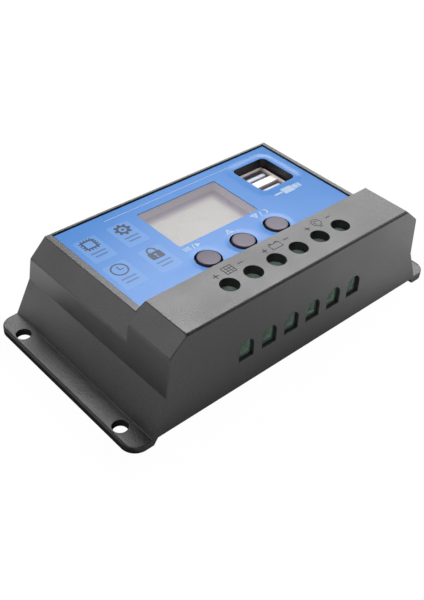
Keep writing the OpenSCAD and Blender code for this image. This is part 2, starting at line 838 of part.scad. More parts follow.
// Transistors lie flat on the heat pad: tab, moulded body and three legs up to the board
module power_transistors() color([0.18, 0.18, 0.19]) {
    pad_top = plate_top + pad_t;
    board_face = board_z - face_gap;
    at_transistors() {
        difference() {
            translate([0, 0, pad_top]) block_at(transistor_l, transistor_w, tab_t);
            translate([0, transistor_w / 2 - tab_hole_in, pad_top - 1])
                cylinder(d = tab_hole_d, h = tab_t + 2);
        }
        translate([0, (transistor_body - transistor_w) / 2, pad_top])
            block_at(transistor_l, transistor_body, board_face - pad_top);
        for (k = [-1 : 1])
            translate([k * pin_pitch, -transistor_w / 2, pad_top + pin_lift]) {
                block_at(pin_w, 4 * pin_t, pin_t);
                translate([0, -1.5 * pin_t, 0])
                    block_at(pin_w, pin_t, board_face - pad_top - pin_lift);
            }
    }
}

module heat_pad() color([0.6, 0.62, 0.66])
    translate([0, transistor_y, plate_top]) block_at(4 * transistor_pitch, transistor_w + 3, pad_t);

// Electrolytic capacitor with its rolled neck
module can(d, h) {
    r = d / 2;
    e = can_edge;
    rotate_extrude() polygon([[0, 0], [r, 0], [r, can_neck - 1.5 * e], [r - e, can_neck],
        [r, can_neck + 1.5 * e], [r, h - e], [r - e, h], [0, h]]);
}

module capacitors() color([0.2, 0.25, 0.4]) {
    for (i = [0, 1]) translate([can_x, can_y + i * can_pitch, board_top]) can(can_d, can_h);
    translate([small_can_x, coil_y, board_top]) can(small_can_d, small_can_h);
}

// Supply coil: a wound drum between two flanges
module supply_coil() color([0.3, 0.3, 0.32]) {
    r = coil_d / 2;
    wound = r - coil_groove;
    upper = coil_h - coil_rim;
    translate([coil_x, coil_y, board_top])
        rotate_extrude() polygon([[0, 0], [r, 0], [r, coil_rim], [wound, coil_rim],
            [wound, upper], [r, upper], [r, coil_h], [0, coil_h]]);
}

module controller_chip() color([0.12, 0.12, 0.12])
    translate([display_x + chip_set_x, display_y + chip_set_y, board_top])
        block_at(chip_l, chip_l, chip_t, 0.4);

module regulator_chip() color([0.12, 0.12, 0.12])
    translate([reg_x, reg_y, board_top]) block_at(reg_l, reg_w, reg_t, 0.3);

top_case();
face_label();
display_window();
back_plate();
plate_screws();
main_board();
board_screws();
solar_terminal_block();
battery_terminal_block();
load_terminal_block();
terminal_screw(0);  // terminal_screw_1
terminal_screw(1);  // terminal_screw_2
terminal_screw(2);  // terminal_screw_3
terminal_screw(3);  // terminal_screw_4
terminal_screw(4);  // terminal_screw_5
terminal_screw(5);  // terminal_screw_6
terminal_cage(0);  // terminal_cage_1
terminal_cage(1);  // terminal_cage_2
terminal_cage(2);  // terminal_cage_3
terminal_cage(3);  // terminal_cage_4
terminal_cage(4);  // terminal_cage_5
terminal_cage(5);  // terminal_cage_6
contact_bars();
display_glass();
display_light();
display_bracket();
display_pins_row();
socket_shell();
socket_core();
socket_contacts();
button_menu();
button_up();
button_down();
plunger_menu();
plunger_up();
plunger_down();
switch_bodies();
power_transistors();
heat_pad();
capacitors();
supply_coil();
controller_chip();
regulator_chip();
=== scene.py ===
import math

import bmesh
import bpy
from mathutils import Matrix, Vector


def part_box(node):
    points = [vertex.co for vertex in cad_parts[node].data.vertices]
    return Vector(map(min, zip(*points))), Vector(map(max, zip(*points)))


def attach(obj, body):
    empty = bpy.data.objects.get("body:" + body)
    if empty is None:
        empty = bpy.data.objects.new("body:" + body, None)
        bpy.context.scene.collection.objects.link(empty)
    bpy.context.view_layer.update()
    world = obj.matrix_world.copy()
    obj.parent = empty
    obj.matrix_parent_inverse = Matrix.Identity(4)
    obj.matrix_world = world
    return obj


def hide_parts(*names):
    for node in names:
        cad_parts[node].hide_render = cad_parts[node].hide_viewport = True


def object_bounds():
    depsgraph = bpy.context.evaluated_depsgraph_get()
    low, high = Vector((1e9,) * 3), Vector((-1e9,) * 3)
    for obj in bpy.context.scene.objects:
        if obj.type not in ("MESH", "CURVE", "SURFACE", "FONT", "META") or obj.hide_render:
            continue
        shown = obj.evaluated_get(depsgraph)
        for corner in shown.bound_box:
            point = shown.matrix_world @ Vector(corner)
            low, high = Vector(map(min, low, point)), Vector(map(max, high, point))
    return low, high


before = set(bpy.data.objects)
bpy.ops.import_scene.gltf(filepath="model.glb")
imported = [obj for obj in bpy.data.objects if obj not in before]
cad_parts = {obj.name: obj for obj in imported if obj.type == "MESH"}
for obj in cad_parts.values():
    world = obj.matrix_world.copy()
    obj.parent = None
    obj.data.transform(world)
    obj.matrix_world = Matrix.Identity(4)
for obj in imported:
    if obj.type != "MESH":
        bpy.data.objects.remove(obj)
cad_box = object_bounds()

MM = 0.001
# Points nearer than this (mm) become one point and faces within this angle (degrees) one flat face,
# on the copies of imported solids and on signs
MERGE, FLAT_TURN = 0.003, 0.3
SIGN_MERGE, SIGN_TURN = 0.002, 0.5
# Lengths under this (mm) count as nothing where a mesh is cut or cleaned
HAIR = 0.001

# Places and sizes of the part in millimetres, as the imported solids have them
HOUSING_TOP = 34.8
FACE_TOP = 29.3
FLANGE_TOP = 2.5
FLANGE_X, FOOT_X = 66.75, 59.4
WAIST_X, WAIST_Z = 54.2, 15.0
FRONT_FOOT, FRONT_LEAN = -35.0, 1.0
REAR_FOOT, REAR_LEAN = 35.0, 2.2
JOIN_Y, HOUSING_SLOPE = -16.1, 3.3
LABEL_TOP = 28.8
RECESS_FLOOR, RECESS_X, RECESS_REAR = 28.5, 45.7, 31.5
POLES = [-23.75 + 9.5 * i for i in range(6)]
POLE_Y = -25.4
DRIVER_R = 3.0
ENTRY_FOOT, ENTRY_TOP, ENTRY_W = 12.6, 19.8, 5.8
FLANGE_HOLE_X, FLANGE_HOLE_Y, FLANGE_HOLE_R = 63.25, 25.0, 2.4
BUTTONS = {"menu": -14.8, "up": 0.0, "down": 14.8}
BUTTON_Y, BUTTON_HOLE_R = -6.8, 4.5
POST_X, POST_Y = 44.4, 27.0
SOCKET_X, SOCKET_Y = 33.1, 17.8
SOCKET_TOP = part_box("socket_shell")[1].z / MM

# Outlines on the face: middle x and y, length and depth, and for the well the corners' radius
WELL = (SOCKET_X, SOCKET_Y, 15.7, 16.4, 2.0)
WINDOW = (-1.0, 14.0, 34.0, 22.0)


# Handling of meshes

def only(obj):
    """Makes obj the one selected and active object."""
    if bpy.context.object and bpy.context.object.mode != "OBJECT":
        bpy.ops.object.mode_set(mode="OBJECT")
    bpy.ops.object.select_all(action="DESELECT")
    obj.select_set(True)
    bpy.context.view_layer.objects.active = obj


def open_mesh(obj, kind="FACE"):
    """Opens obj for editing with nothing selected."""
    only(obj)
    bpy.ops.object.mode_set(mode="EDIT")
    bpy.ops.mesh.select_mode(type=kind)
    bpy.ops.mesh.select_all(action="DESELECT")


def close_mesh():
    """Ends the editing of a mesh."""
    bpy.ops.object.mode_set(mode="OBJECT")


def pick_faces(obj, test):
    """Selects the faces whose middle (mm) and normal pass the test."""
    bpy.ops.mesh.select_mode(type="FACE")
    bpy.ops.mesh.select_all(action="DESELECT")
    bm = bmesh.from_edit_mesh(obj.data)
    for face in bm.faces:
        face.select_set(bool(test(face.calc_center_median() / MM, face.normal)))
    bmesh.update_edit_mesh(obj.data)


def pick_edges(obj, test, least=20.0):
    """Selects the outward edges sharper than least degrees whose middle (mm) passes the test."""
    bpy.ops.mesh.select_mode(type="EDGE")
    bpy.ops.mesh.select_all(action="DESELECT")
    bm = bmesh.from_edit_mesh(obj.data)
    count = 0
    for edge in bm.edges:
        if len(edge.link_faces) != 2 or not edge.is_convex:
            continue
        if edge.calc_face_angle(0.0) < math.radians(least):
            continue
        middle = (edge.verts[0].co + edge.verts[1].co) / (2 * MM)
        if test(middle):
            edge.select_set(True)
            count += 1
    bmesh.update_edit_mesh(obj.data)
    return count


def soften(obj, test, width, steps=3, least=20.0):
    """Rounds the outward edges that pass the test."""
    open_mesh(obj, "EDGE")
    if pick_edges(obj, test, least):
        bpy.ops.mesh.bevel(offset=width * MM, offset_type="OFFSET", segments=steps,
                           profile=0.5, affect="EDGES", clamp_overlap=False)
    close_mesh()


# Shading: faces make one flat region where the cosine between their normals is over SAME_PLANE.
# Edges over SHARP degrees stay sharp. Beside a region over LARGE_FLAT (mm2), so do edges over
# FLAT_EDGE degrees and the edges of regions under SLIVER (mm2).
SAME_PLANE = 0.999998
SHARP, FLAT_EDGE = 32.0, 2.0
LARGE_FLAT, SLIVER = 4.0, 0.004
# The film and the screws are shaded by this angle alone
PLAIN_SHARP = 30.0


def flat_areas(bm):
    """The area (mm2) of the flat region that each face belongs to."""
    areas = {}
    for start in bm.faces:
        if start in areas:
            continue
        region, queue = {start}, [start]
        while queue:
            face = queue.pop()
            for edge in face.edges:
                for other in edge.link_faces:
                    if other not in region and other.normal.dot(start.normal) > SAME_PLANE:
                        region.add(other)
                        queue.append(other)
        total = sum(face.calc_area() for face in region) / MM ** 2
        areas.update((face, total) for face in region)
    return areas


def smooth(obj):
    """Smooth shading that keeps sharp edges and lets the large flat regions stay flat."""
    open_mesh(obj, "EDGE")
    bpy.ops.mesh.select_all(action="SELECT")
    bpy.ops.mesh.faces_shade_smooth()
    bpy.ops.mesh.mark_sharp(clear=True)
    bpy.ops.mesh.select_all(action="DESELECT")
    bm = bmesh.from_edit_mesh(obj.data)
    areas = flat_areas(bm)
    for edge in bm.edges:
        if len(edge.link_faces) == 2:
            turn = math.degrees(edge.calc_face_angle(0.0))
            beside_flat = max(areas[face] for face in edge.link_faces) > LARGE_FLAT
            sliver = min(areas[face] for face in edge.link_faces) < SLIVER
            edge.select_set(turn > SHARP or (beside_flat and (turn > FLAT_EDGE or sliver)))
    bmesh.update_edit_mesh(obj.data)
    bpy.ops.mesh.mark_sharp()
    close_mesh()


def merged_copy(node, name):
    """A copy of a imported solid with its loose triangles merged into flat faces."""
    obj = bpy.data.objects.new(name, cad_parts[node].data.copy())
    bpy.context.scene.collection.objects.link(obj)
    open_mesh(obj)
    bpy.ops.mesh.select_all(action="SELECT")
    bpy.ops.mesh.remove_doubles(threshold=MERGE * MM)
    bpy.ops.mesh.dissolve_limited(angle_limit=math.radians(FLAT_TURN))
    close_mesh()
    return obj


def settle(obj):
    """Puts a piece's place into its mesh, so that its object sits at the origin."""
    only(obj)
    bpy.ops.object.transform_apply(location=True, rotation=True, scale=True)


def copy_to(obj, name, x, y):
    """A copy of a piece with its own mesh, moved by x and y."""
    twin = obj.copy()
    twin.data = obj.data.copy()
    twin.name = name
    bpy.context.scene.collection.objects.link(twin)
    twin.location = (x * MM, y * MM, 0)
    settle(twin)
    return twin


def turned_bar(name, sides, radius, low, high):
    """A round bar on the z axis between two heights, as the start of a turned piece."""
    bpy.ops.object.select_all(action="DESELECT")
    bpy.ops.mesh.primitive_cylinder_add(vertices=sides, radius=radius * MM, depth=(high - low) * MM,
                                        location=(0, 0, (low + high) / 2 * MM))
    bar = bpy.context.object
    bar.name = name
    settle(bar)
    return bar


def sized_block(name, place, size):
    """A block of that size with its middle at a place."""
    bpy.ops.object.select_all(action="DESELECT")
    bpy.ops.mesh.primitive_cube_add(size=1, location=[v * MM for v in place], scale=[v * MM for v in size])
    block = bpy.context.object
    block.name = name
    settle(block)
    return block


def pull(by):
    """Extrudes the selected faces by a height."""
    bpy.ops.mesh.extrude_region_move(TRANSFORM_OT_translate={"value": (0, 0, by * MM)})


def scale_round(share, z):
    """Scales what is selected sideways about the z axis."""
    bpy.ops.transform.resize(value=(share, share, 1), center_override=(0, 0, z * MM))


def hand_over(obj, body, slot, finish, *nodes):
    """Gives a finished piece its material, the body that it rides on and the nodes that it stands for."""
    obj.data.materials.clear()
    obj.data.materials.append(finish)
    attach(obj, body)
    if nodes:
        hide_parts(*nodes)


# Finishes

def group(name, inputs, outputs):
    """An empty shader group with its sockets; returns it with its input and output nodes."""
    tree = bpy.data.node_groups.new(name, "ShaderNodeTree")
    for label, kind, value in inputs:
        socket = tree.interface.new_socket(label, in_out="INPUT", socket_type="NodeSocket" + kind)
        if value is not None:
            socket.default_value = value
    for label, kind in outputs:
        tree.interface.new_socket(label, in_out="OUTPUT", socket_type="NodeSocket" + kind)
    return tree, tree.nodes.new("NodeGroupInput"), tree.nodes.new("NodeGroupOutput")


def feed(tree, socket, value):
    """Gives a socket a plain number or colour, or links it to another node's output."""
    if isinstance(value, (int, float, tuple)):
        socket.default_value = value
    else:
        tree.links.new(value, socket)


def noise(tree, vector, scale, detail, rough):
    """Cloudy noise; a higher scale is finer."""
    node = tree.nodes.new("ShaderNodeTexNoise")
    node.inputs["Detail"].default_value = detail
    node.inputs["Roughness"].default_value = rough
    feed(tree, node.inputs["Vector"], vector)
    feed(tree, node.inputs["Scale"], scale)
    return node.outputs["Fac"]


def maths(tree, kind, *values):
    """One step of arithmetic on values."""
    node = tree.nodes.new("ShaderNodeMath")
    node.operation = kind
    for socket, value in zip(node.inputs, values):
        feed(tree, socket, value)
    return node.outputs[0]


def blended(tree, a, share, b):
    """A weighted mean: that share of a, and the rest of b."""
    return maths(tree, "ADD", maths(tree, "MULTIPLY", a, share), maths(tree, "MULTIPLY", b, 1.0 - share))


def spread(tree, value, low, high, to_low, to_high, smooth_step=False):
    """Maps a value from one range to another, held at the ends."""
    node = tree.nodes.new("ShaderNodeMapRange")
    node.interpolation_type = "SMOOTHSTEP" if smooth_step else "LINEAR"
    tree.links.new(value, node.inputs["Value"])
    for label, end in (("From Min", low), ("From Max", high), ("To Min", to_low), ("To Max", to_high)):
        feed(tree, node.inputs[label], end)
    return node.outputs["Result"]


def tint(tree, factor, a, b, kind="MIX"):
    """Mixes two colours, or multiplies them."""
    node = tree.nodes.new("ShaderNodeMix")
    node.data_type = "RGBA"
    node.blend_type = kind
    color_a, color_b = node.inputs[6], node.inputs[7]
    for socket, value in ((node.inputs["Factor"], factor), (color_a, a), (color_b, b)):
        feed(tree, socket, value)
    return node.outputs[2]


def rgb(r, g, b):
    """An opaque colour."""
    return (r, g, b, 1.0)


# Moulded grain: the fine spark-eroded texture of moulded plastic, with a faint mottle
grain, g_in, g_out = group(
    "moulded_grain",
    [("Vector", "Vector", None), ("Grain", "Float", 3200.0), ("Dark", "Color", rgb(0.02, 0.02, 0.02)),
     ("Light", "Color", rgb(0.04, 0.04, 0.04)), ("Smoothest", "Float", 0.4), ("Roughest", "Float", 0.55)],
    [("Color", "Color"), ("Roughness", "Float"), ("Height", "Float")])
fine = noise(grain, g_in.outputs["Vector"], g_in.outputs["Grain"], 2.0, 0.6)
mottle = noise(grain, g_in.outputs["Vector"], 55.0, 4.0, 0.6)
speck = spread(grain, fine, 0.36, 0.66, 0.0, 1.0)
shade = blended(grain, speck, 0.7, mottle)
grain.links.new(tint(grain, shade, g_in.outputs["Dark"], g_in.outputs["Light"]), g_out.inputs["Color"])
rough_mix = blended(grain, mottle, 0.6, fine)
grain.links.new(spread(grain, rough_mix, 0.35, 0.65, g_in.outputs["Smoothest"], g_in.outputs["Roughest"]),
                g_out.inputs["Roughness"])
grain.links.new(fine, g_out.inputs["Height"])

# Rolled sheet: streaks along one direction, as on rolled or drawn metal
sheet, s_in, s_out = group(
    "rolled_sheet",
    [("Vector", "Vector", None), ("Dark", "Color", rgb(0.5, 0.5, 0.5)),
     ("Light", "Color", rgb(0.8, 0.8, 0.8)), ("Smoothest", "Float", 0.2),
     ("Roughest", "Float", 0.4), ("Stretch", "Vector", (1.0, 1.0, 1.0))],
    [("Color", "Color"), ("Roughness", "Float"), ("Height", "Float")])
stretch = sheet.nodes.new("ShaderNodeVectorMath")
stretch.operation = "MULTIPLY"
sheet.links.new(s_in.outputs["Vector"], stretch.inputs[0])
sheet.links.new(s_in.outputs["Stretch"], stretch.inputs[1])
streak = noise(sheet, stretch.outputs[0], 900.0, 4.0, 0.65)
cloud = noise(sheet, s_in.outputs["Vector"], 70.0, 3.0, 0.55)
blend = spread(sheet, blended(sheet, streak, 0.65, cloud), 0.34, 0.66, 0.0, 1.0)
sheet.links.new(tint(sheet, blend, s_in.outputs["Dark"], s_in.outputs["Light"]), s_out.inputs["Color"])
sheet.links.new(spread(sheet, blend, 0.0, 1.0, s_in.outputs["Roughest"], s_in.outputs["Smoothest"]),
                s_out.inputs["Roughness"])
sheet.links.new(streak, s_out.inputs["Height"])


def blank_finish(name):
    """A new material; returns it with its tree, its shader and the piece's own coordinates."""
    finish = bpy.data.materials.new(name)
    finish.use_nodes = True
    tree = finish.node_tree
    place = tree.nodes.new("ShaderNodeTexCoord")
    return finish, tree, tree.nodes["Principled BSDF"], place.outputs["Object"]


def bump(tree, shader, height, strength, distance):
    """Feeds a height to a shader's normal; the distance is in metres."""
    node = tree.nodes.new("ShaderNodeBump")
    node.inputs["Strength"].default_value = strength
    node.inputs["Distance"].default_value = distance
    tree.links.new(height, node.inputs["Height"])
    tree.links.new(node.outputs["Normal"], shader.inputs["Normal"])


def textured_finish(name, texture, values, strength, depth):
    """A new material that takes its colour, roughness and bump from a group with these values."""
    finish, tree, shader, place = blank_finish(name)
    node = tree.nodes.new("ShaderNodeGroup")
    node.node_tree = texture
    tree.links.new(place, node.inputs["Vector"])
    for label, value in values.items():
        node.inputs[label].default_value = value
    tree.links.new(node.outputs["Color"], shader.inputs["Base Color"])
    tree.links.new(node.outputs["Roughness"], shader.inputs["Roughness"])
    bump(tree, shader, node.outputs["Height"], strength, depth)
    return finish, shader


def plastic(name, dark, light, smoothest, roughest, grain_size=3200.0, strength=0.3, depth=0.00003,
            **sockets):
    """Moulded plastic with its grain."""
    finish, shader = textured_finish(
        name, grain, {"Grain": grain_size, "Dark": dark, "Light": light,
                      "Smoothest": smoothest, "Roughest": roughest}, strength, depth)
    for label, value in sockets.items():
        shader.inputs[label.replace("_", " ")].default_value = value
    return finish


STREAK_STRENGTH, STREAK_DEPTH = 0.12, 0.00002


def metal(name, dark, light, smoothest, roughest, stretch_by, metallic=1.0):
    """Sheet or drawn metal with its streaks."""
    finish, shader = textured_finish(
        name, sheet, {"Dark": dark, "Light": light, "Smoothest": smoothest,
                      "Roughest": roughest, "Stretch": stretch_by}, STREAK_STRENGTH, STREAK_DEPTH)
    shader.inputs["Metallic"].default_value = metallic
    return finish


def painted_depth_shade(finish, low, high, least):
    """Paints shade onto a finish towards a depth (heights in mm): darker deeper inside a mouth, where shade
    falls.
    """
    tree = finish.node_tree
    color = next(n for n in tree.nodes if n.type == "BSDF_PRINCIPLED").inputs["Base Color"]
    source = color.links[0].from_socket
    split = tree.nodes.new("ShaderNodeSeparateXYZ")
    tree.links.new(tree.nodes.new("ShaderNodeTexCoord").outputs["Object"], split.inputs[0])
    depth = spread(tree, split.outputs["Z"], low * MM, high * MM, least, 1.0)
    tree.links.new(tint(tree, 1.0, source, depth, "MULTIPLY"), color)


# Matt finish of the sunk signs; its darker tone is painted shade
sign_matt_and_shade = plastic("sign_matt_and_shade", rgb(0.006, 0.006, 0.0065), rgb(0.014, 0.014, 0.0145), 0.55, 0.7,
                    grain_size=2600.0, Specular_IOR_Level=0.2)
case_plastic = plastic("case_plastic", rgb(0.01, 0.01, 0.0105), rgb(0.026, 0.026, 0.027), 0.3, 0.42,
                       grain_size=1900.0, strength=0.7, depth=0.0001)
button_grey = plastic("button_grey", rgb(0.036, 0.023, 0.048), rgb(0.054, 0.038, 0.068), 0.36, 0.48,
                      grain_size=4200.0, Specular_IOR_Level=0.4)
terminal_green = plastic("terminal_green", rgb(0.2, 0.3, 0.235), rgb(0.29, 0.41, 0.33), 0.3, 0.42,
                         grain_size=2200.0)
switch_black = plastic("switch_black", rgb(0.012, 0.012, 0.012), rgb(0.03, 0.03, 0.03), 0.35, 0.5)
package_black = plastic("package_black", rgb(0.014, 0.014, 0.015), rgb(0.035, 0.035, 0.036), 0.45, 0.6,
                        grain_size=2600.0)
pad_grey = plastic("pad_grey", rgb(0.28, 0.3, 0.33), rgb(0.36, 0.38, 0.41), 0.6, 0.75, grain_size=1500.0)
can_sleeve = plastic("can_sleeve", rgb(0.02, 0.03, 0.07), rgb(0.035, 0.05, 0.11), 0.25, 0.35,
                     grain_size=900.0)
coil_ferrite = plastic("coil_ferrite", rgb(0.04, 0.04, 0.045), rgb(0.08, 0.08, 0.085), 0.5, 0.7,
                       grain_size=2000.0)
display_white = plastic("display_white", rgb(0.74, 0.74, 0.72), rgb(0.84, 0.84, 0.82), 0.35, 0.5,
                        grain_size=1800.0)
socket_tongue = plastic("socket_tongue", rgb(0.4, 0.43, 0.51), rgb(0.47, 0.5, 0.58), 0.28, 0.4,
                        grain_size=2000.0)
board_laminate = plastic("board_laminate", rgb(0.006, 0.05, 0.022), rgb(0.015, 0.11, 0.05), 0.25, 0.4,
                         grain_size=700.0)

plate_alloy = metal("plate_alloy", rgb(0.42, 0.43, 0.45), rgb(0.66, 0.67, 0.69), 0.28, 0.46,
                    (0.04, 1.0, 1.0))
fixing_steel = metal("fixing_steel", rgb(0.5, 0.5, 0.51), rgb(0.74, 0.74, 0.75), 0.22, 0.36,
                     (1.0, 1.0, 0.2))
clamp_steel = metal("clamp_steel", rgb(0.52, 0.52, 0.5), rgb(0.78, 0.78, 0.75), 0.2, 0.36, (1.0, 0.15, 1.0))
contact_tin = metal("contact_tin", rgb(0.6, 0.52, 0.4), rgb(0.84, 0.76, 0.6), 0.22, 0.36, (1.0, 0.1, 1.0))
socket_tin = metal("socket_tin", rgb(0.68, 0.61, 0.585), rgb(0.8, 0.73, 0.705), 0.5, 0.62, (1.0, 1.0, 0.08),
                   metallic=0.2)
# Painted shade: the tin darkens towards the bottom of the socket mouths
MOUTH_DARK, MOUTH_LIGHT, MOUTH_SHARE = 1.3, 0.35, 0.3
painted_depth_shade(socket_tin, SOCKET_TOP - MOUTH_DARK, SOCKET_TOP - MOUTH_LIGHT, MOUTH_SHARE)

FILM_GLOSS = 0.15


def film_finish():
    """Blue label film: glossy and a little wavy."""
    finish, tree, shader, place = blank_finish("label_film")
    shader.inputs["Specular IOR Level"].default_value = FILM_GLOSS
    wave = noise(tree, place, 42.0, 1.5, 0.4)
    cloud = noise(tree, place, 26.0, 3.0, 0.5)
    ink = noise(tree, place, 3800.0, 1.0, 0.5)
    mix = spread(tree, blended(tree, cloud, 0.75, ink), 0.35, 0.65, 0.0, 1.0)
    color = tint(tree, mix, rgb(0.045, 0.17, 0.445), rgb(0.054, 0.19, 0.48))
    tree.links.new(color, shader.inputs["Base Color"])
    tree.links.new(spread(tree, cloud, 0.35, 0.65, 0.13, 0.2), shader.inputs["Roughness"])
    bump(tree, shader, wave, 0.25, 0.00006)
    return finish


def print_finish(name, dark, light, roughness):
    """Printed ink on the film, a little uneven."""
    finish, tree, shader, place = blank_finish(name)
    shader.inputs["Specular IOR Level"].default_value = FILM_GLOSS
    spots = noise(tree, place, 2600.0, 2.0, 0.6)
    color = tint(tree, spread(tree, spots, 0.35, 0.65, 0.0, 1.0), dark, light)
    tree.links.new(color, shader.inputs["Base Color"])
    tree.links.new(spread(tree, spots, 0.3, 0.7, roughness, roughness + 0.08), shader.inputs["Roughness"])
    return finish


def pane_finish():
    """Clear pane over the display, a little hazy."""
    finish, tree, shader, place = blank_finish("clear_pane")
    haze = noise(tree, place, 60.0, 2.0, 0.5)
    tree.links.new(spread(tree, haze, 0.3, 0.7, 0.42, 0.48), shader.inputs["Roughness"])
    tree.links.new(spread(tree, haze, 0.3, 0.7, 0.05, 0.06), shader.inputs["Alpha"])
    shader.inputs["Base Color"].default_value = rgb(0.233, 0.227, 0.217)
    shader.inputs["Specular IOR Level"].default_value = 0.1
    return finish


GLASS_MARGIN, MARGIN_BLUR = 2.8, 0.15


def display_finish():
    """Front of the display: warm grey with a soft gloss and a painted glow, and the margin of its glass,
    paler and with a weaker painted glow to lift the shade there.
    """
    finish, tree, shader, place = blank_finish("display_face")
    cloud = noise(tree, place, 45.0, 2.0, 0.5)
    face = tint(tree, spread(tree, cloud, 0.2, 0.8, 0.0, 1.0),
                rgb(0.232, 0.226, 0.216), rgb(0.252, 0.246, 0.236))
    spot = tree.nodes.new("ShaderNodeSeparateXYZ")
    tree.links.new(place, spot.inputs[0])
    reach = []
    cx, cy, w, h = WINDOW
    for axis, middle, size in (("X", cx, w), ("Y", cy, h)):
        away = maths(tree, "ABSOLUTE", maths(tree, "SUBTRACT", spot.outputs[axis], middle * MM))
        reach.append(maths(tree, "SUBTRACT", size / 2 * MM, away))
    inside = maths(tree, "MINIMUM", reach[0], reach[1])
    lit = spread(tree, inside, (GLASS_MARGIN - MARGIN_BLUR) * MM, (GLASS_MARGIN + MARGIN_BLUR) * MM, 0.0, 1.0)
    # Painted light: the margin's paler tone lifts the shade that the walls cast on it
    tree.links.new(tint(tree, lit, rgb(0.35, 0.328, 0.36), face), shader.inputs["Base Color"])
    tree.links.new(spread(tree, cloud, 0.2, 0.8, 0.26, 0.3), shader.inputs["Roughness"])
    # Painted glow on the face and, weaker, on the margin, lifting the shade in the well
    glow = tint(tree, lit, rgb(0.51, 0.476, 0.56), rgb(1.0, 0.98, 0.96))
    tree.links.new(glow, shader.inputs["Emission Color"])
    shader.inputs["Emission Strength"].default_value = 0.175
    shader.inputs["Specular IOR Level"].default_value = 0.25
    return finish


label_film = film_finish()
pale_print = print_finish("pale_print", rgb(0.26, 0.35, 0.48), rgb(0.31, 0.41, 0.54), 0.16)
grey_print = print_finish("grey_print", rgb(0.012, 0.022, 0.05), rgb(0.02, 0.034, 0.07), 0.16)
faint_print = print_finish("faint_print", rgb(0.032, 0.1, 0.25), rgb(0.038, 0.11, 0.27), 0.16)
panel_print = print_finish("panel_print", rgb(0.078, 0.207, 0.47), rgb(0.087, 0.224, 0.49), 0.16)
clear_pane = pane_finish()
# Frosted skirt of the lens, with a painted glow that lifts the shade on its walls
skirt_frost_painted_glow = plastic("skirt_frost_painted_glow", rgb(0.28, 0.257, 0.285), rgb(0.345, 0.318, 0.35), 0.3, 0.5,
                      grain_size=1400.0, strength=0.05, depth=0.00001,
                      Emission_Color=rgb(1.0, 0.94, 1.04), Emission_Strength=0.18)
display_face = display_finish()

# The solids that keep their own shape

KEPT = {
    "main_board": board_laminate, "board_screws": fixing_steel, "back_plate": plate_alloy,
    "solar_terminal_block": terminal_green, "battery_terminal_block": terminal_green,
    "load_terminal_block": terminal_green, "contact_bars": contact_tin,
    "display_glass": display_face, "display_light": display_white, "display_bracket": display_white,
    "display_pins_row": contact_tin, "socket_contacts": contact_tin,
    "plunger_menu": switch_black, "plunger_up": switch_black, "plunger_down": switch_black,
    "switch_bodies": switch_black, "power_transistors": package_black, "heat_pad": pad_grey,
    "capacitors": can_sleeve, "supply_coil": coil_ferrite,
    "controller_chip": package_black, "regulator_chip": package_black,
}
KEPT.update({"terminal_cage_%d" % (i + 1): clamp_steel for i in range(len(POLES))})
for node, finish in KEPT.items():
    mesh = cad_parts[node].data
    mesh.materials.clear()
    mesh.materials.append(finish)

# Case

# Half length of an end wall at its brow, the brow's height, and the run and drop of the slant above it
HOUSING_END = (53.2, 29.3, 6.2, 5.5)
BASE_END = (53.5, 22.9, 5.5, 6.4)

# How near a point counts as on a wall, on an end wall with its rounded brow, and at an opening or edge
NEAR, NEAR_END, BESIDE = 0.08, 0.25, 0.2
# Edges below this height stand on the mounting plane and stay sharp
GROUND = 0.3
# Low edges beyond this half length belong to a flange
FLANGE_FROM_X = 57.0

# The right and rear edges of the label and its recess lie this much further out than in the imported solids,
# and corners within the reach of an edge move with it
RIGHT_MORE, REAR_MORE = 0.8, 0.4
RECESS_REACH = 0.4

# Radius of the rounding on the outer edges, at the openings and along the rim
SKIN_ROUND, OPENING_ROUND, RIM_ROUND = 0.3, 0.15, 0.14


def front_y(z):
    """Place of the front wall at a height."""
    return FRONT_FOOT + FRONT_LEAN * z / HOUSING_TOP


def rear_y(z):
    """Place of the rear wall at a height."""
    return REAR_FOOT - REAR_LEAN * max(z - FLANGE_TOP, 0.0) / (FACE_TOP - FLANGE_TOP)


def end_x(y, z):
    """Half length of the outer skin at a height, behind or in the housing."""
    if z < FLANGE_TOP:
        return FLANGE_X
    if z < WAIST_Z:
        return FOOT_X - (FOOT_X - WAIST_X) * (z - FLANGE_TOP) / (WAIST_Z - FLANGE_TOP)
    wall, brow, run, drop = HOUSING_END if y < JOIN_Y + NEAR else BASE_END
    if z < brow:
        return WAIST_X + (wall - WAIST_X) * (z - WAIST_Z) / (brow - WAIST_Z)
    return wall - run * (z - brow) / drop


def in_recess(p):
    """True at the edges of the label's recess and at the top of its rim."""
    inside = abs(p.x) < RECESS_X + BESIDE and p.y < RECESS_REAR + BESIDE
    return p.y > JOIN_Y and p.z > RECESS_FLOOR - NEAR and (inside or p.z > FACE_TOP - NEAR)


def on_skin(p):
    """True where a point lies on the outer skin of the case, away from the join, the recess and the rim."""
    if p.z < GROUND or abs(p.y - JOIN_Y) < BESIDE or in_recess(p):
        return False
    if p.z > HOUSING_TOP - NEAR:
        return True
    if abs(p.y - front_y(p.z)) < NEAR or abs(p.y - rear_y(p.z)) < NEAR:
        return True
    on_flange = p.z < FLANGE_TOP + NEAR and abs(p.x) > FLANGE_FROM_X
    return on_flange or abs(abs(p.x) - end_x(p.y, p.z)) < NEAR_END


def on_rim(p):
    """True where a point lies at an edge of the rim round the label."""
    return abs(p.z - FACE_TOP) < NEAR and p.y > JOIN_Y + HOUSING_SLOPE + NEAR


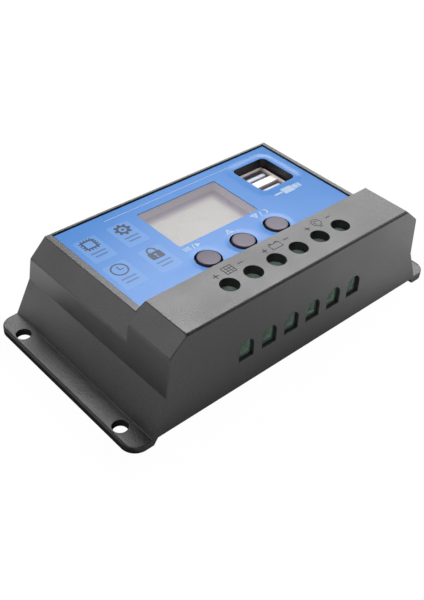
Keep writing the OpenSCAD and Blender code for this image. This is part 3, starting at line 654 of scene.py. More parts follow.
def by_opening(p):
    """True where a point lies at the rim of a driver hole, a wire entry or a flange hole."""
    if p.z > HOUSING_TOP - NEAR:
        return any(math.hypot(p.x - x, p.y - POLE_Y) < DRIVER_R + BESIDE for x in POLES)
    if abs(p.y - front_y(p.z)) < NEAR and ENTRY_FOOT - BESIDE < p.z < ENTRY_TOP + BESIDE:
        return any(abs(p.x - x) < ENTRY_W / 2 + BESIDE for x in POLES)
    from_hole = math.hypot(abs(p.x) - FLANGE_HOLE_X, abs(p.y) - FLANGE_HOLE_Y)
    return p.z < FLANGE_TOP + NEAR and from_hole < FLANGE_HOLE_R + BESIDE


def widen_recess(obj):
    """Moves the right and rear edges of the label recess, or of the label, outwards."""
    open_mesh(obj, "VERT")
    bm = bmesh.from_edit_mesh(obj.data)
    for corner in bm.verts:
        x, y, z = corner.co / MM
        at_height = RECESS_FLOOR - NEAR < z < FACE_TOP + RECESS_REACH
        within = abs(x) < RECESS_X + RECESS_REACH and JOIN_Y < y < RECESS_REAR + RECESS_REACH
        if at_height and within:
            corner.co.x += RIGHT_MORE * MM if x > RECESS_X - RECESS_REACH else 0.0
            corner.co.y += REAR_MORE * MM if y > RECESS_REAR - RECESS_REACH else 0.0
    bmesh.update_edit_mesh(obj.data)
    close_mesh()


case_shell = merged_copy("top_case", "case_shell")
soften(case_shell, lambda p: on_skin(p) and not by_opening(p), SKIN_ROUND, 3, least=30.0)
soften(case_shell, lambda p: on_skin(p) and by_opening(p), OPENING_ROUND, 2, least=40.0)
soften(case_shell, on_rim, RIM_ROUND, 2, least=30.0)
widen_recess(case_shell)

# Signs: flat shapes cut from closed outlines

CORNER_STEPS, CIRCLE_STEPS, ARC_STEPS = 5, 40, 18
# The inner corners of a plus are eased by this much, which keeps the cut in the housing closed
PLUS_EASE = 0.012


def arc_line(cx, cy, r, start, end, steps):
    """Points from one angle to another (degrees) round a middle."""
    angles = [math.radians(start + (end - start) * i / steps) for i in range(steps + 1)]
    return [(cx + r * math.cos(a), cy + r * math.sin(a)) for a in angles]


def box_line(cx, cy, w, h):
    left, right, low, high = cx - w / 2, cx + w / 2, cy - h / 2, cy + h / 2
    return [(left, low), (right, low), (right, high), (left, high)]


def round_box_line(cx, cy, w, h, r):
    points = []
    for qx, qy, start in ((1, 1, 0), (-1, 1, 90), (-1, -1, 180), (1, -1, 270)):
        points += arc_line(cx + qx * (w / 2 - r), cy + qy * (h / 2 - r), r, start, start + 90, CORNER_STEPS)
    return points


def circle_line(cx, cy, r):
    return arc_line(cx, cy, r, 0, 360, CIRCLE_STEPS)[:-1]


def arc_band(cx, cy, outer, inner, start, end):
    return (arc_line(cx, cy, outer, start, end, ARC_STEPS)
            + arc_line(cx, cy, inner, end, start, ARC_STEPS))


def plus_line(cx, cy, size, bar):
    """A plus from its overall size and the width of its bars."""
    s, b = size / 2, bar / 2
    root = b + PLUS_EASE
    return [(cx - b, cy - s), (cx + b, cy - s), (cx + b, cy - root), (cx + s, cy - b),
            (cx + s, cy + b), (cx + b, cy + root), (cx + b, cy + s), (cx - b, cy + s),
            (cx - b, cy + root), (cx - s, cy + b), (cx - s, cy - b), (cx - b, cy - root)]


def gear_line(cx, cy, outer, inner, teeth):
    """A gear whose teeth reach these angles (degrees) to each side at the root and at the tip."""
    points = []
    root, tip = 15, 9
    for i in range(teeth):
        middle = 360.0 * i / teeth
        for turn, r in ((-root, inner), (-tip, outer), (tip, outer), (root, inner)):
            a = math.radians(middle + turn)
            points.append((cx + r * math.cos(a), cy + r * math.sin(a)))
    return points


def cut_sign(name, outlines, z, height):
    """A flat sign of that height standing on z; an outline inside another one is a hole."""
    curve = bpy.data.curves.new(name, "CURVE")
    curve.dimensions = "2D"
    curve.fill_mode = "BOTH"
    curve.extrude = height / 2 * MM
    for outline in outlines:
        line = curve.splines.new("POLY")
        line.points.add(len(outline) - 1)
        for point, (x, y) in zip(line.points, outline):
            point.co = (x * MM, y * MM, 0, 1)
        line.use_cyclic_u = True
    obj = bpy.data.objects.new(name, curve)
    bpy.context.scene.collection.objects.link(obj)
    only(obj)
    bpy.ops.object.convert(target="MESH")
    open_mesh(obj)
    bpy.ops.mesh.select_all(action="SELECT")
    bpy.ops.mesh.remove_doubles(threshold=SIGN_MERGE * MM)
    bpy.ops.mesh.dissolve_degenerate(threshold=HAIR * MM)
    bpy.ops.mesh.dissolve_limited(angle_limit=math.radians(SIGN_TURN))
    bpy.ops.mesh.normals_make_consistent(inside=False)
    close_mesh()
    obj.location = (0, 0, (z + height / 2) * MM)
    settle(obj)
    return obj


def cut_away(obj, cutter):
    """Takes the cutter's shape out of obj and removes the cutter."""
    only(obj)
    cut = obj.modifiers.new("cut", "BOOLEAN")
    cut.operation = "DIFFERENCE"
    cut.solver = "EXACT"
    cut.object = cutter
    bpy.ops.object.modifier_apply(modifier=cut.name)
    bpy.data.objects.remove(cutter, do_unlink=True)


# Signs sunk into the housing: polarity, panel, battery and lamp
SIGN_Y, SIGN_DEPTH = -20.1, 0.08
PLUS_X, MINUS_X = (-24.5, -4.7, 13.9), (-14.4, 4.8, 23.9)
SIGN_SIZE, SIGN_BAR = 2.1, 0.34
PANEL_X, BATTERY_X, LAMP_X = -19.3, 0.0, 18.7


def panel_lines(x, y):
    """A framed panel of three by three cells."""
    lines = [box_line(x, y, 3.9, 3.5)]
    for i in (-1, 0, 1):
        for j in (-1, 0, 1):
            lines.append(box_line(x + i * 1.18, y + j * 1.06, 0.96, 0.84))
    return lines


def battery_lines(x, y):
    """A box with two poles on it."""
    poles = [box_line(x + side * 1.25, y + 1.6, 0.8, 0.42) for side in (-1, 1)]
    return [box_line(x, y, 4.4, 2.6), box_line(x, y, 3.9, 2.1)] + poles


def lamp_lines(x, y):
    """A ring with a curl in it, and a bar for the foot."""
    return [circle_line(x, y, 1.8), circle_line(x, y, 1.54), arc_band(x, y, 0.95, 0.7, 20, 250),
            box_line(x, y - 2.25, 1.5, 0.36)]


sunk = [plus_line(x, SIGN_Y - 0.2, SIGN_SIZE, SIGN_BAR) for x in PLUS_X]
sunk += [box_line(x, SIGN_Y + 0.3, SIGN_SIZE, SIGN_BAR) for x in MINUS_X]
sunk += panel_lines(PANEL_X, SIGN_Y)
sunk += battery_lines(BATTERY_X, SIGN_Y - 0.3)
sunk += lamp_lines(LAMP_X, SIGN_Y + 0.4)
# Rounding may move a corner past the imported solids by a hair, so the corners are held inside their box
for corner in case_shell.data.vertices:
    corner.co = [min(max(value, low), high) for value, low, high in zip(corner.co, *cad_box)]
CUT_ABOVE = 0.3
sign_cutter = cut_sign("sign_cutter", sunk, HOUSING_TOP - SIGN_DEPTH, SIGN_DEPTH + CUT_ABOVE)
cut_away(case_shell, sign_cutter)
open_mesh(case_shell)
bpy.ops.mesh.select_all(action="SELECT")
bpy.ops.mesh.remove_doubles(threshold=HAIR * MM)
bpy.ops.mesh.quads_convert_to_tris(quad_method="BEAUTY", ngon_method="BEAUTY")
close_mesh()
smooth(case_shell)
hand_over(case_shell, "case", "case_plastic", case_plastic, "top_case")
# A dark matt sheet on the floor of the sunk signs: matt like the real signs, and darker than the case as
# painted shade in the grooves
FLOOR_SUNK, FLOOR_THICK = 0.02, 0.05
sign_floor = cut_sign("sign_floor", sunk, HOUSING_TOP - SIGN_DEPTH - FLOOR_SUNK, FLOOR_THICK)
hand_over(sign_floor, "case", "case_plastic", sign_matt_and_shade)

# Label: a film that sinks a little round the socket well and the buttons

# Drop at the well and at a button, and the most that they make together
WELL_DROP, BUTTON_DROP, MOST_DROP = 0.15, 0.12, 0.2
# Distances from the opening's edge at which a drop starts to ease off, and ends
WELL_EASE, BUTTON_EASE = (0.9, 3.1), (0.0, 1.7)
# Lines along which the film is divided so that it can bend
FILM_COLUMNS = [-21.0 + 0.75 * i for i in range(88)]
FILM_ROWS = [-12.3 + 0.65 * i for i in range(20)] + [4.0 + 0.75 * i for i in range(37)]
FILM_TOP = LABEL_TOP - 0.05


def outside_round_box(x, y, cx, cy, w, h, r):
    """Distance of a point outside a rounded box; negative inside."""
    dx = max(abs(x - cx) - (w / 2 - r), 0.0)
    dy = max(abs(y - cy) - (h / 2 - r), 0.0)
    return math.hypot(dx, dy) - r


def ease(value, low, high):
    """A soft step from 0 to 1."""
    t = min(max((value - low) / (high - low), 0.0), 1.0)
    return t * t * (3 - 2 * t)


def film_drop(x, y):
    """How far the film sinks at a place."""
    drop = WELL_DROP * (1 - ease(outside_round_box(x, y, *WELL), *WELL_EASE))
    for bx in BUTTONS.values():
        outside = math.hypot(x - bx, y - BUTTON_Y) - BUTTON_HOLE_R
        drop += BUTTON_DROP * (1 - ease(outside, *BUTTON_EASE))
    return min(drop, MOST_DROP)


label_sheet = merged_copy("face_label", "label_sheet")
widen_recess(label_sheet)
open_mesh(label_sheet)
cuts = [((x, 0, 0), (1, 0, 0)) for x in FILM_COLUMNS] + [((0, y, 0), (0, 1, 0)) for y in FILM_ROWS]
for place, across in cuts:
    bpy.ops.mesh.select_all(action="SELECT")
    bpy.ops.mesh.bisect(plane_co=Vector(place) * MM, plane_no=across, threshold=HAIR * MM)
bm = bmesh.from_edit_mesh(label_sheet.data)
for corner in bm.verts:
    if corner.co.z > FILM_TOP * MM:
        corner.co.z -= film_drop(corner.co.x / MM, corner.co.y / MM) * MM
bmesh.update_edit_mesh(label_sheet.data)
close_mesh()
only(label_sheet)
bpy.ops.object.shade_smooth_by_angle(angle=math.radians(PLAIN_SHARP))
hand_over(label_sheet, "case", "label_film", label_film, "face_label")

# Printed marks on the film
CHIP, GEAR, CLOCK, PADLOCK = (-39.2, 21.2), (-26.3, 21.3), (-39.5, 5.6), (-26.3, 5.4)
MOON, PLUG = (16.7, 0.75), (32.6, 5.4)


def chip_lines(x, y):
    """A square with a square hole, and four legs on each side."""
    lines = [round_box_line(x, y, 4.5, 4.5, 0.4), box_line(x, y, 3.2, 3.2)]
    for i in range(4):
        step = (i - 1.5) * 1.1
        for side in (-1, 1):
            lines.append(box_line(x + step, y + side * 2.62, 0.5, 0.62))
            lines.append(box_line(x + side * 2.62, y + step, 0.62, 0.5))
    return lines


def gear_lines(x, y):
    """A gear with a ring in its hub."""
    return [gear_line(x, y, 2.9, 2.2, 8), circle_line(x, y, 1.35), circle_line(x, y, 0.55)]


def clock_lines(x, y):
    """A ring with two hands."""
    hands = [(x - 0.2, y + 1.6), (x - 0.2, y - 0.4), (x + 1.5, y - 0.4),
             (x + 1.5, y), (x + 0.2, y), (x + 0.2, y + 1.6)]
    return [circle_line(x, y, 2.95), circle_line(x, y, 2.4), hands]


def padlock_lines(x, y):
    """A body with a keyhole, and its shackle."""
    outer, inner, foot, spring = 1.75, 1.15, y + 0.85, y + 1.5
    shackle = ([(x - outer, foot)] + arc_line(x, spring, outer, 180, 0, ARC_STEPS) + [(x + outer, foot)]
               + [(x + inner, foot)] + arc_line(x, spring, inner, 0, 180, ARC_STEPS) + [(x - inner, foot)])
    return [round_box_line(x, y - 1.0, 4.8, 3.6, 0.5), circle_line(x, y - 0.6, 0.5),
            box_line(x, y - 1.75, 0.4, 1.0), shackle]


def moon_line(x, y):
    """A crescent: a round arc out, and a narrower one back that is a little taller than wide."""
    back = [math.radians(a) for a in range(80, -81, -10)]
    return (arc_line(x, y, 1.25, -100, 100, 20)
            + [(x - 0.4 + 1.05 * math.cos(a), y + 1.12 * math.sin(a)) for a in back])


def plug_lines(x, y):
    """A plug: its body, its tin end with two windows, and its cord."""
    windows = [box_line(x + 4.8, y + side * 0.6, 0.8, 0.5) for side in (1, -1)]
    return [round_box_line(x, y, 4.8, 3.2, 0.5), round_box_line(x + 4.3, y, 3.4, 2.3, 0.15), *windows,
            round_box_line(x - 4.4, y, 3.6, 0.8, 0.35)]


panels, bars = [], []
for x, y in (CHIP, GEAR, CLOCK, PADLOCK):
    panels.append(round_box_line(x - 0.05, y - 2.9, 8.4, 12.6, 0.9))
    bars.append(round_box_line(x, y - 4.6, 5.4, 0.7, 0.2))
    bars.append(round_box_line(x, y - 6.4, 4.6, 0.7, 0.2))
icons = chip_lines(*CHIP) + gear_lines(*GEAR) + clock_lines(*CLOCK) + padlock_lines(*PADLOCK)

# Behind the buttons: list, stroke and arrow; arrow up; arrow down, stroke and moon
marks = [box_line(-17.0, -0.05 + 0.7 * i, 2.6, 0.36) for i in range(3)]
marks.append([(-15.0, -0.4), (-14.6, -0.4), (-14.0, 1.7), (-14.4, 1.7)])
marks.append([(-13.5, -0.35), (-11.6, 0.65), (-13.5, 1.65)])
marks += [[(-2.0, -1.45), (1.0, -1.45), (-0.5, 1.05)], [(-1.05, -0.9), (0.05, -0.9), (-0.5, 0.0)]]
marks += [[(10.8, 1.8), (12.35, -0.7), (13.9, 1.8)], [(11.8, 1.25), (12.35, 0.4), (12.9, 1.25)]]
marks.append([(14.3, -0.5), (14.7, -0.5), (15.5, 1.8), (15.1, 1.8)])
marks.append(moon_line(*MOON))
marks += plug_lines(*PLUG)
# A plain rule behind the display
marks.append(round_box_line(-1.3, 28.3, 54.4, 0.24, 0.1))

# Height of the prints above the film, and how far they reach into it
PANEL_LIFT, PRINT_LIFT, PRINT_SUNK = 0.015, 0.03, 0.01
for name, lines, finish, lift in (("label_panels", panels, panel_print, PANEL_LIFT),
                                  ("label_icons", icons, grey_print, PRINT_LIFT),
                                  ("label_bars", bars, faint_print, PRINT_LIFT),
                                  ("label_marks", marks, pale_print, PRINT_LIFT)):
    sign = cut_sign(name, lines, LABEL_TOP - PRINT_SUNK, lift + PRINT_SUNK)
    hand_over(sign, "case", "label_film", finish)

# Buttons: a crowned cap, a collar and a stem, made once and copied

CAP_R, COLLAR_R, STEM_R = 3.8, 5.0, 2.5
CAP_TOP, CAP_FOOT, COLLAR_FOOT = 29.3, 26.7, 25.4
STEM_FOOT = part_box("button_up")[0].z / MM
CAP_SIDES, CAP_ROUND = 72, 0.25
# The cap's top falls by CROWN to its edge and is divided into rings for it
CROWN, CROWN_RINGS, RING = 0.04, 4, 0.7


def make_button(name):
    """A button on the z axis."""
    cap = turned_bar(name, CAP_SIDES, CAP_R, CAP_FOOT, CAP_TOP)
    open_mesh(cap)
    pick_faces(cap, lambda p, n: n.z < -0.9)
    pull(0)
    scale_round(COLLAR_R / CAP_R, CAP_FOOT)
    pull(COLLAR_FOOT - CAP_FOOT)
    pull(0)
    scale_round(STEM_R / COLLAR_R, COLLAR_FOOT)
    pull(STEM_FOOT - COLLAR_FOOT)
    close_mesh()
    soften(cap, lambda p: p.z > CAP_TOP - NEAR, CAP_ROUND, 4)
    open_mesh(cap)
    for ring in range(CROWN_RINGS):
        pick_faces(cap, lambda p, n: n.z > 0.99 and p.z > CAP_TOP - NEAR and math.hypot(p.x, p.y) < 0.5)
        bpy.ops.mesh.inset(thickness=RING * MM)
    bm = bmesh.from_edit_mesh(cap.data)
    for corner in bm.verts:
        r = math.hypot(corner.co.x, corner.co.y) / MM
        if corner.co.z > LABEL_TOP * MM:
            corner.co.z -= CROWN * (r / CAP_R) ** 2 * MM
    bmesh.update_edit_mesh(cap.data)
    close_mesh()
    smooth(cap)
    return cap


first_cap = make_button("button_form")
for key, x in BUTTONS.items():
    cap = copy_to(first_cap, "cap_" + key, x, BUTTON_Y)
    hand_over(cap, key + "_button", "button_grey", button_grey, "button_" + key)
bpy.data.objects.remove(first_cap, do_unlink=True)

# Clamp screws: slotted head, neck and thread, made once and copied

HEAD_SIDES, HEAD_R, HEAD_FOOT, HEAD_TOP, HEAD_ROUND = 64, 2.8, 27.1, 29.3, 0.25
NECK_R, NECK_H, SHANK_H = 1.52, 0.7, 7.2
TIP_H, TIP_SHARE = 0.5, 0.7
SLOT_SIZE, SLOT_Z = (7.0, 1.0, 1.6), 28.9
THREAD_PITCH, THREAD_TURNS, THREAD_STEPS, THREAD_FOOT = 0.7, 9, 24, 19.5
THREAD_ROOT_R, THREAD_CREST_R = 1.45, 1.9
THREAD_ROOT_HALF, THREAD_CREST_HALF = 0.3, 0.06


def make_thread():
    """A ridge wound round the shank."""
    bpy.ops.object.select_all(action="DESELECT")
    bpy.ops.mesh.primitive_plane_add(size=THREAD_PITCH * MM, location=(NECK_R * MM, 0, THREAD_FOOT * MM),
                                     rotation=(math.pi / 2, 0, 0))
    thread = bpy.context.object
    settle(thread)
    open_mesh(thread, "VERT")
    bm = bmesh.from_edit_mesh(thread.data)
    for corner in bm.verts:
        side = 1 if corner.co.z > THREAD_FOOT * MM else -1
        crest = corner.co.x > NECK_R * MM
        corner.co.x = (THREAD_CREST_R if crest else THREAD_ROOT_R) * MM
        corner.co.z = (THREAD_FOOT + side * (THREAD_CREST_HALF if crest else THREAD_ROOT_HALF)) * MM
    bmesh.update_edit_mesh(thread.data)
    close_mesh()
    turn = thread.modifiers.new("turn", "SCREW")
    turn.axis = "Z"
    turn.angle = 2 * math.pi
    turn.screw_offset = THREAD_PITCH * MM
    turn.iterations = THREAD_TURNS
    turn.steps = THREAD_STEPS
    turn.render_steps = THREAD_STEPS
    turn.use_merge_vertices = True
    only(thread)
    bpy.ops.object.modifier_apply(modifier=turn.name)
    open_mesh(thread)
    bpy.ops.mesh.select_all(action="SELECT")
    bpy.ops.mesh.remove_doubles(threshold=0.0005 * MM)
    bpy.ops.mesh.normals_make_consistent(inside=False)
    close_mesh()
    return thread


def make_clamp_screw(name):
    """A clamp screw on the z axis."""
    screw = turned_bar(name, HEAD_SIDES, HEAD_R, HEAD_FOOT, HEAD_TOP)
    soften(screw, lambda p: True, HEAD_ROUND, 3)
    open_mesh(screw)
    pick_faces(screw, lambda p, n: n.z < -0.99 and p.z < HEAD_FOOT + NEAR)
    bpy.ops.mesh.inset(thickness=(HEAD_R - HEAD_ROUND - NECK_R) * MM)
    for height in (NECK_H, SHANK_H, TIP_H):
        pull(-height)
    scale_round(TIP_SHARE, HEAD_FOOT - NECK_H - SHANK_H - TIP_H)
    close_mesh()
    cut_away(screw, sized_block("drive_slot", (0, 0, SLOT_Z), SLOT_SIZE))
    thread = make_thread()
    bpy.ops.object.select_all(action="DESELECT")
    thread.select_set(True)
    screw.select_set(True)
    bpy.context.view_layer.objects.active = screw
    bpy.ops.object.join()
    only(screw)
    bpy.ops.object.shade_smooth_by_angle(angle=math.radians(PLAIN_SHARP))
    return screw


first_screw = make_clamp_screw("clamp_screw_form")
for i, x in enumerate(POLES):
    screw = copy_to(first_screw, "clamp_screw_head_%d" % (i + 1), x, POLE_Y)
    hand_over(screw, "clamp_screw_%d" % (i + 1), "clamp_steel", clamp_steel, "terminal_screw_%d" % (i + 1))
bpy.data.objects.remove(first_screw, do_unlink=True)

# Sockets: tin shell with rolled lips, and its tongues

LIP_T, LIP_H, LIP_DROP, LIP_ROUND = 1.0, 0.7, 0.25, 0.28
# Places of the lips from the sockets' middle, and their lengths
SIDE_LIP_X, SIDE_LIP_Y, SIDE_LIP_L = 6.65, -0.1, 13.0
END_LIP_X, END_LIP_Y, END_LIP_L = -0.3, 7.45, 11.6


def rolled_lip(name, x, y, w, d):
    """One lip of the shell: a strip along the top of a wall, rolled over at its edges."""
    lip = sized_block(name, (SOCKET_X + x, SOCKET_Y + y, SOCKET_TOP - LIP_DROP), (w, d, LIP_H))
    soften(lip, lambda p: p.z > SOCKET_TOP - 0.3, LIP_ROUND, 4)
    return lip


def weld(obj, other):
    """Joins other to obj as one closed solid and removes other."""
    only(obj)
    union = obj.modifiers.new("weld", "BOOLEAN")
    union.operation = "UNION"
    union.solver = "EXACT"
    union.object = other
    bpy.ops.object.modifier_apply(modifier=union.name)
    bpy.data.objects.remove(other, do_unlink=True)


shell_tin = merged_copy("socket_shell", "shell_tin")
for lip in (rolled_lip("lip_right", SIDE_LIP_X, SIDE_LIP_Y, LIP_T, SIDE_LIP_L),
            rolled_lip("lip_left", -SIDE_LIP_X, SIDE_LIP_Y, LIP_T, SIDE_LIP_L),
            rolled_lip("lip_rear", END_LIP_X, END_LIP_Y, END_LIP_L, LIP_T),
            rolled_lip("lip_front", END_LIP_X, -END_LIP_Y, END_LIP_L, LIP_T)):
    weld(shell_tin, lip)
smooth(shell_tin)
hand_over(shell_tin, "case", "socket_tin", socket_tin, "socket_shell")

tongues = merged_copy("socket_core", "socket_tongues")
TONGUE_TOP, TONGUE_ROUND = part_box("socket_core")[1].z / MM, 0.25
soften(tongues, lambda p: p.z > TONGUE_TOP - 0.05, TONGUE_ROUND, 4)
smooth(tongues)
hand_over(tongues, "case", "socket_tongue", socket_tongue, "socket_core")

# Display lens: a clear pane on a frosted skirt

# Height at which pane and skirt part, and the gap between them
LENS_SPLIT, LENS_GAP = 27.49, 0.02
PANE_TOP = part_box("display_window")[1].z / MM


def lens_part(name, keep_top):
    """The pane or the skirt of the lens; the skirt's inner wall reaches the label round the pane."""
    part = merged_copy("display_window", name)
    open_mesh(part)
    bpy.ops.mesh.select_all(action="SELECT")
    split = LENS_SPLIT + LENS_GAP if keep_top else LENS_SPLIT
    bpy.ops.mesh.bisect(plane_co=(0, 0, split * MM), plane_no=(0, 0, 1), use_fill=keep_top,
                        clear_inner=keep_top, clear_outer=not keep_top, threshold=HAIR * MM)
    if not keep_top:
        bpy.ops.mesh.bridge_edge_loops()
    bm = bmesh.from_edit_mesh(part.data)
    cx, cy, w, h = WINDOW
    for corner in bm.verts:
        if keep_top:
            corner.co.x = (cx + math.copysign(w / 2 - LENS_GAP, corner.co.x / MM - cx)) * MM
            corner.co.y = (cy + math.copysign(h / 2 - LENS_GAP, corner.co.y / MM - cy)) * MM
        elif corner.co.z > (LENS_SPLIT - NEAR) * MM:
            corner.co.z = (PANE_TOP - LENS_GAP) * MM
    bmesh.update_edit_mesh(part.data)
    close_mesh()
    return part


lens_pane = lens_part("lens_pane", True)
hand_over(lens_pane, "case", "clear_pane", clear_pane, "display_window")
lens_skirt = lens_part("lens_skirt", False)
hand_over(lens_skirt, "case", "clear_pane", skirt_frost_painted_glow, "display_window")

# Plate screws: pan heads with a cross recess, made once and copied

PAN_SIDES, PAN_R, PAN_LOW, PAN_HIGH, PAN_ROUND = 48, 2.4, 0.4, 2.0, 0.9
SHANK_R, SHANK_END = 1.45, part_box("plate_screws")[1].z / MM
CROSS_L, CROSS_W, CROSS_H, CROSS_Z = 2.6, 0.55, 2.2, 0.25


def make_plate_screw(name):
    """A plate screw on the z axis, its head down."""
    screw = turned_bar(name, PAN_SIDES, PAN_R, PAN_LOW, PAN_HIGH)
    soften(screw, lambda p: p.z < PAN_LOW + NEAR, PAN_ROUND, 5)
    open_mesh(screw)
    pick_faces(screw, lambda p, n: n.z > 0.99 and p.z > PAN_HIGH - NEAR)
    bpy.ops.mesh.inset(thickness=(PAN_R - SHANK_R) * MM)
    pull(SHANK_END - PAN_HIGH)
    close_mesh()
    for size in ((CROSS_L, CROSS_W, CROSS_H), (CROSS_W, CROSS_L, CROSS_H)):
        cut_away(screw, sized_block("cross_arm", (0, 0, CROSS_Z), size))
    only(screw)
    bpy.ops.object.shade_smooth_by_angle(angle=math.radians(PLAIN_SHARP))
    return screw


first_fixing = make_plate_screw("plate_screw_form")
for i, (sx, sy) in enumerate(((-1, -1), (1, -1), (1, 1), (-1, 1))):
    fixing = copy_to(first_fixing, "plate_screw_%d" % (i + 1), sx * POST_X, sy * POST_Y)
    hand_over(fixing, "case", "fixing_steel", fixing_steel, "plate_screws")
bpy.data.objects.remove(first_fixing, do_unlink=True)

# Light, floor and camera

# The dome's lights: direction, half angles of the core and of the edge in degrees, and strength
DOME_LIGHTS = (((0.443, 0.428, 0.788), 6.0, 21.0, 11.2), ((0.536, 0.547, 0.643), 2.0, 9.0, 2.0),
               ((-0.68, 0.55, 0.5), 8.0, 28.0, 2.7), ((0.9, 0.1, 0.4), 15.0, 45.0, 2.4),
               ((-0.45, -0.45, 0.77), 8.0, 28.0, 3.5))


def studio_world():
    """A dark dome with soft lights, the main one high at the right rear; the camera itself sees white."""
    world = bpy.data.worlds.new("studio")
    bpy.context.scene.world = world
    world.use_nodes = True
    tree = world.node_tree
    back = tree.nodes["Background"]
    place = tree.nodes.new("ShaderNodeTexCoord").outputs["Generated"]

    def lobe(direction, inner, outer, power):
        """Strength of one light, easing off between its core and its edge."""
        node = tree.nodes.new("ShaderNodeVectorMath")
        node.operation = "DOT_PRODUCT"
        tree.links.new(place, node.inputs[0])
        node.inputs[1].default_value = Vector(direction).normalized()
        edge, core = math.cos(math.radians(outer)), math.cos(math.radians(inner))
        return spread(tree, node.outputs["Value"], edge, core, 0.0, power, smooth_step=True)

    total = lobe(*DOME_LIGHTS[0])
    for light in DOME_LIGHTS[1:]:
        total = maths(tree, "ADD", total, lobe(*light))
    tree.links.new(total, back.inputs["Strength"])
    back.inputs["Color"].default_value = rgb(1.0, 0.995, 1.01)
    seen = tree.nodes.new("ShaderNodeBackground")
    seen.inputs["Color"].default_value = rgb(1.0, 1.0, 1.0)
    seen.inputs["Strength"].default_value = 1.0
    path = tree.nodes.new("ShaderNodeLightPath")
    mix = tree.nodes.new("ShaderNodeMixShader")
    tree.links.new(path.outputs["Is Camera Ray"], mix.inputs["Fac"])
    tree.links.new(back.outputs[0], mix.inputs[1])
    tree.links.new(seen.outputs[0], mix.inputs[2])
    tree.links.new(mix.outputs[0], tree.nodes["World Output"].inputs["Surface"])


FLOOR_SIZE = 6.0
# Distances in millimetres from the foot of the case between which the floor's painted shade at the foot and
# its painted glow change
FOOT_SHADE, GLOW_NEAR, GLOW_FAR = 10.0, 6.0, 12.0
# Length in millimetres from the middle to the right over which the painted glow along the front and rear
# grows
GLOW_RUN = 60.0
# Middle of the round painted pool of light behind the left end, and its inner and outer radius, in metres
REAR_GLOW, GLOW_INNER, GLOW_OUTER = (-0.085, 0.057, 0.0), 0.011, 0.017
# Share of plain white paper that the camera sees on the floor
WHITE_SHARE = 0.985


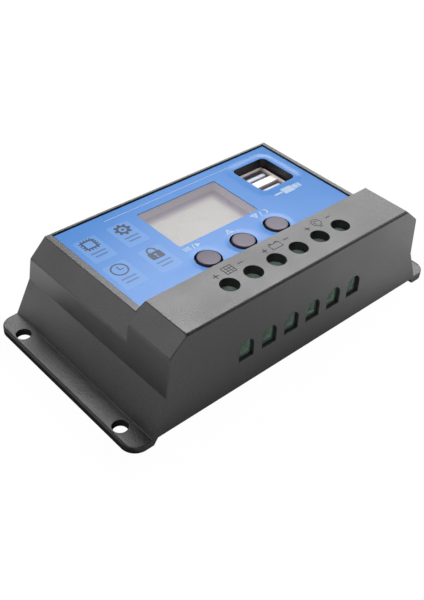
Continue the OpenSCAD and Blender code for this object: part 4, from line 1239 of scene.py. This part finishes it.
def studio_floor():
    """White paper to the camera; to the part it has painted shade at the foot and painted pools of light
    further out.
    """
    bpy.ops.object.select_all(action="DESELECT")
    bpy.ops.mesh.primitive_plane_add(size=FLOOR_SIZE, location=(0, 0, 0))
    floor = bpy.context.object
    floor.name = "studio_floor"
    finish, tree, shader, place = blank_finish("floor_paper")
    pulp = noise(tree, place, 900.0, 3.0, 0.6)
    spot = tree.nodes.new("ShaderNodeSeparateXYZ")
    tree.links.new(place, spot.inputs[0])
    beside = maths(tree, "SUBTRACT", maths(tree, "ABSOLUTE", spot.outputs["X"]), FLANGE_X * MM)
    past_wall = maths(tree, "SUBTRACT", maths(tree, "ABSOLUTE", spot.outputs["Y"]), REAR_FOOT * MM)
    side_near = spread(tree, beside, 0.0, FOOT_SHADE * MM, 0.0, 1.0, smooth_step=True)
    wall_near = maths(tree, "MULTIPLY", maths(tree, "GREATER_THAN", past_wall, 0.0),
                      spread(tree, past_wall, 0.0, FOOT_SHADE * MM, 0.5, 1.0, smooth_step=True))
    near = maths(tree, "MAXIMUM", side_near, wall_near)
    # Painted shade: the paper turns black towards the foot of the case
    paper_tone = tint(tree, pulp, rgb(0.4, 0.4, 0.4), rgb(0.44, 0.44, 0.44))
    tree.links.new(tint(tree, near, rgb(0.0, 0.0, 0.0), paper_tone), shader.inputs["Base Color"])
    shader.inputs["Emission Color"].default_value = rgb(1.0, 1.0, 1.0)
    away = tree.nodes.new("ShaderNodeVectorMath")
    away.operation = "DISTANCE"
    tree.links.new(place, away.inputs[0])
    away.inputs[1].default_value = REAR_GLOW
    # Painted pools of light: a round one behind the left end, one further out beside the ends, and one along
    # the front and rear that grows to the right
    rear_glow = maths(tree, "MULTIPLY", side_near,
                      spread(tree, away.outputs["Value"], GLOW_INNER, GLOW_OUTER, 1.1, 0.0, smooth_step=True))
    far_glow = spread(tree, beside, GLOW_NEAR * MM, GLOW_FAR * MM, 0.0, 0.38, smooth_step=True)
    wall_glow = maths(tree, "MULTIPLY", wall_near,
                      spread(tree, spot.outputs["X"], 0.0, GLOW_RUN * MM, 0.34, 0.75, smooth_step=True))
    glow = maths(tree, "ADD", maths(tree, "ADD", rear_glow, far_glow), wall_glow)
    tree.links.new(glow, shader.inputs["Emission Strength"])
    shader.inputs["Roughness"].default_value = 0.9
    shader.inputs["Specular IOR Level"].default_value = 0.1
    paper = tree.nodes.new("ShaderNodeEmission")
    paper.inputs["Strength"].default_value = 1.0
    seen = tree.nodes.new("ShaderNodeMixShader")
    path = tree.nodes.new("ShaderNodeLightPath")
    to_camera = spread(tree, path.outputs["Is Camera Ray"], 0.0, 1.0, 0.0, WHITE_SHARE)
    tree.links.new(to_camera, seen.inputs["Fac"])
    tree.links.new(shader.outputs[0], seen.inputs[1])
    tree.links.new(paper.outputs[0], seen.inputs[2])
    tree.links.new(seen.outputs[0], tree.nodes["Material Output"].inputs["Surface"])
    floor.data.materials.append(finish)


# Camera, fitted to the photograph: angles in degrees; target, distance, sensor and lens in millimetres
TURN, RISE, ROLL = -44.395, 39.95, 3.739
TARGET, DISTANCE = (-11.599, -6.199, 10.0), 280.17
SENSOR, LENS = 36.0, 52.07


def photo_camera():
    """Camera at the photograph's viewing angle, distance and lens."""
    turn, rise, roll = math.radians(TURN), math.radians(RISE), math.radians(ROLL)
    back = Vector((math.sin(turn) * math.cos(rise), -math.cos(turn) * math.cos(rise), math.sin(rise)))
    right = Vector((math.cos(turn), math.sin(turn), 0.0))
    up = back.cross(right)
    level = right * math.cos(roll) + up * math.sin(roll)
    upright = up * math.cos(roll) - right * math.sin(roll)
    data = bpy.data.cameras.new("photo_camera")
    data.sensor_width = SENSOR
    data.lens = LENS
    data.clip_start = 0.01
    camera = bpy.data.objects.new("photo_camera", data)
    bpy.context.scene.collection.objects.link(camera)
    pose = Matrix((level, upright, back)).transposed().to_4x4()
    pose.translation = (Vector(TARGET) + back * DISTANCE) * MM
    camera.matrix_world = pose
    bpy.context.scene.camera = camera


studio_world()
studio_floor()
photo_camera()
bpy.context.scene.view_settings.view_transform = "Standard"
